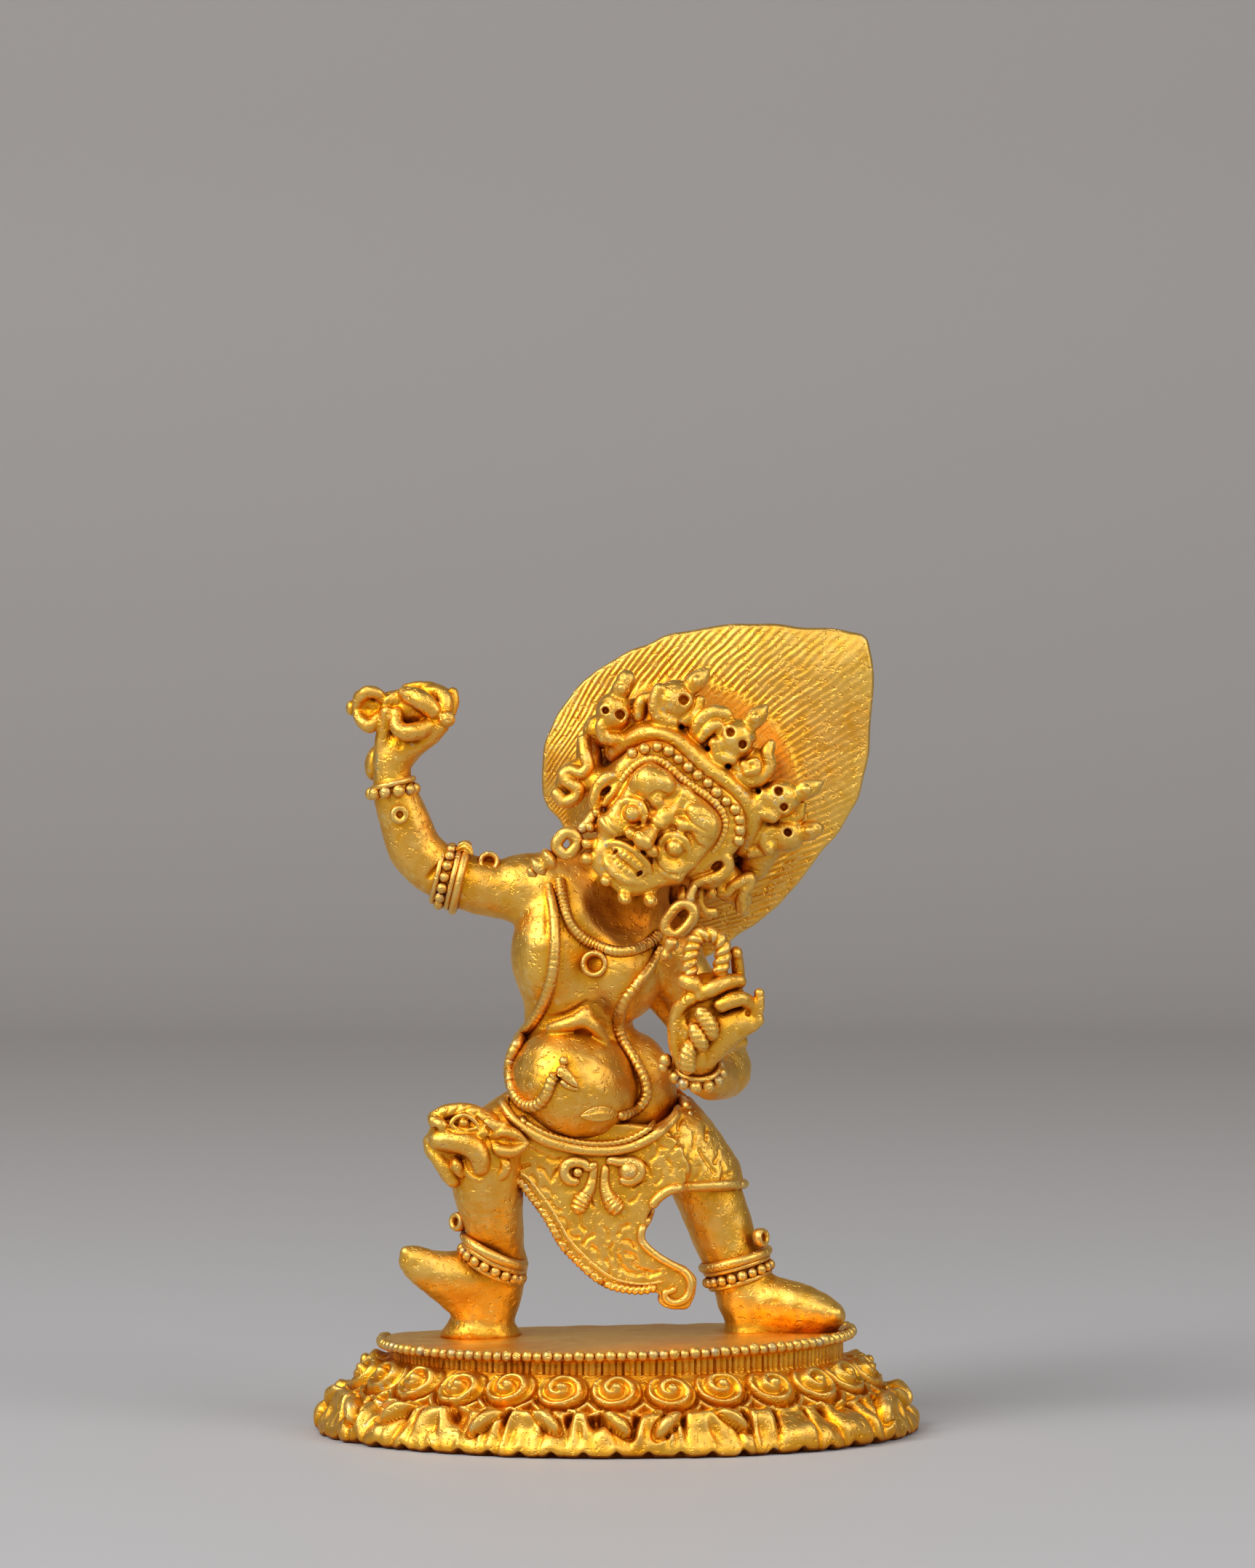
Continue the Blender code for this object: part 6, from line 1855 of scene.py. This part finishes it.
def studio_card(card):
    """The card: flat under the statue, and curved up far behind it by a quarter turn."""
    turn = np.linspace(0, math.pi / 2, 32)
    flat = [(y, 0.0) for y in np.linspace(CARD_FRONT, CARD_BEND - 10, 12)]
    bend = [(CARD_BEND + CARD_RADIUS * math.sin(a), CARD_RADIUS * (1 - math.cos(a))) for a in turn]
    profile = np.array(flat + bend + [(CARD_BEND + CARD_RADIUS, CARD_TOP)])
    across = np.linspace(-CARD_HALF, CARD_HALF, 9)
    shape = (len(profile), len(across))
    points = np.stack([np.broadcast_to(across, shape), np.broadcast_to(profile[:, :1], shape),
                       np.broadcast_to(profile[:, 1:] - PLATE_TOP, shape)], -1)
    mesh = bpy.data.meshes.new("studio_card")
    mesh.from_pydata(to_frame(points.reshape(-1, 3)).tolist(), [],
                     grid_faces(*shape, closed=False).tolist())
    mesh.shade_smooth()
    mesh.materials.append(card)
    obj = bpy.data.objects.new("studio_card", mesh)
    bpy.context.scene.collection.objects.link(obj)
    return obj


def aimed(obj, place, target):
    """Puts a light or camera at a place of the drawing, looking at another."""
    start, end = to_frame(place), to_frame(target)
    way = (end - start) / np.linalg.norm(end - start)
    right = np.cross(way, (0, 0, 1))
    right /= np.linalg.norm(right)
    up = np.cross(right, way)
    rows = [[right[i], up[i], -way[i], start[i]] for i in range(3)] + [[0, 0, 0, 1]]
    obj.matrix_world = Matrix(rows)
    bpy.context.scene.collection.objects.link(obj)


def soft_box(name, place, width, power):
    """A white square diffuser aimed at the statue's middle: place and width in mm, power in watts."""
    light = bpy.data.lights.new(name, "AREA")
    light.shape = "SQUARE"
    light.size = width * MM
    light.energy = power
    aimed(bpy.data.objects.new(name, light), place, STATUE_MIDDLE)


def portrait_camera():
    """A long lens a little above the statue's middle, as far as the photograph's perspective says."""
    camera = bpy.data.cameras.new("portrait")
    camera.lens = CAMERA_LENS
    camera.sensor_width = 36.0
    camera.clip_start = 0.02
    camera.clip_end = 20.0
    obj = bpy.data.objects.new("portrait", camera)
    aimed(obj, CAMERA_AT, CAMERA_AIM)
    return obj


OPERATORS = (GILDED_OT_lotus_base, GILDED_OT_nimbus, GILDED_OT_trunk, GILDED_OT_legs, GILDED_OT_tiger_skin,
             GILDED_OT_head, GILDED_OT_crown, GILDED_OT_attributes, GILDED_OT_ornaments, GILDED_OT_stage)


class GILDED_PT_panel(bpy.types.Panel):
    """Lists the pieces of the statue and what a user would change"""
    bl_idname = "GILDED_PT_panel"
    bl_label = "Gilded Deity"
    bl_space_type = "VIEW_3D"
    bl_region_type = "UI"
    bl_category = "Gilded Deity"

    def draw(self, context):
        for group in (context.scene.casting_sizes, context.scene.gilding_colours):
            for name in group.bl_rna.properties.keys():
                if name not in ("rna_type", "name"):
                    self.layout.prop(group, name)
        for operator in OPERATORS:
            self.layout.operator(operator.bl_idname)


CLASSES = (CastingSizes, GildingColours, *OPERATORS, GILDED_PT_panel)


def register():
    """Adds the classes and the settings that the panel shows."""
    for kind in CLASSES:
        bpy.utils.register_class(kind)
    bpy.types.Scene.casting_sizes = bpy.props.PointerProperty(type=CastingSizes)
    bpy.types.Scene.gilding_colours = bpy.props.PointerProperty(type=GildingColours)


def unregister():
    """Takes them away again."""
    del bpy.types.Scene.gilding_colours
    del bpy.types.Scene.casting_sizes
    for kind in reversed(CLASSES):
        bpy.utils.unregister_class(kind)


def main():
    """Builds every piece and the studio."""
    register()
    for operator in OPERATORS:
        group, name = operator.bl_idname.split(".")
        getattr(getattr(bpy.ops, group), name)()


if __name__ == "__main__":
    main()
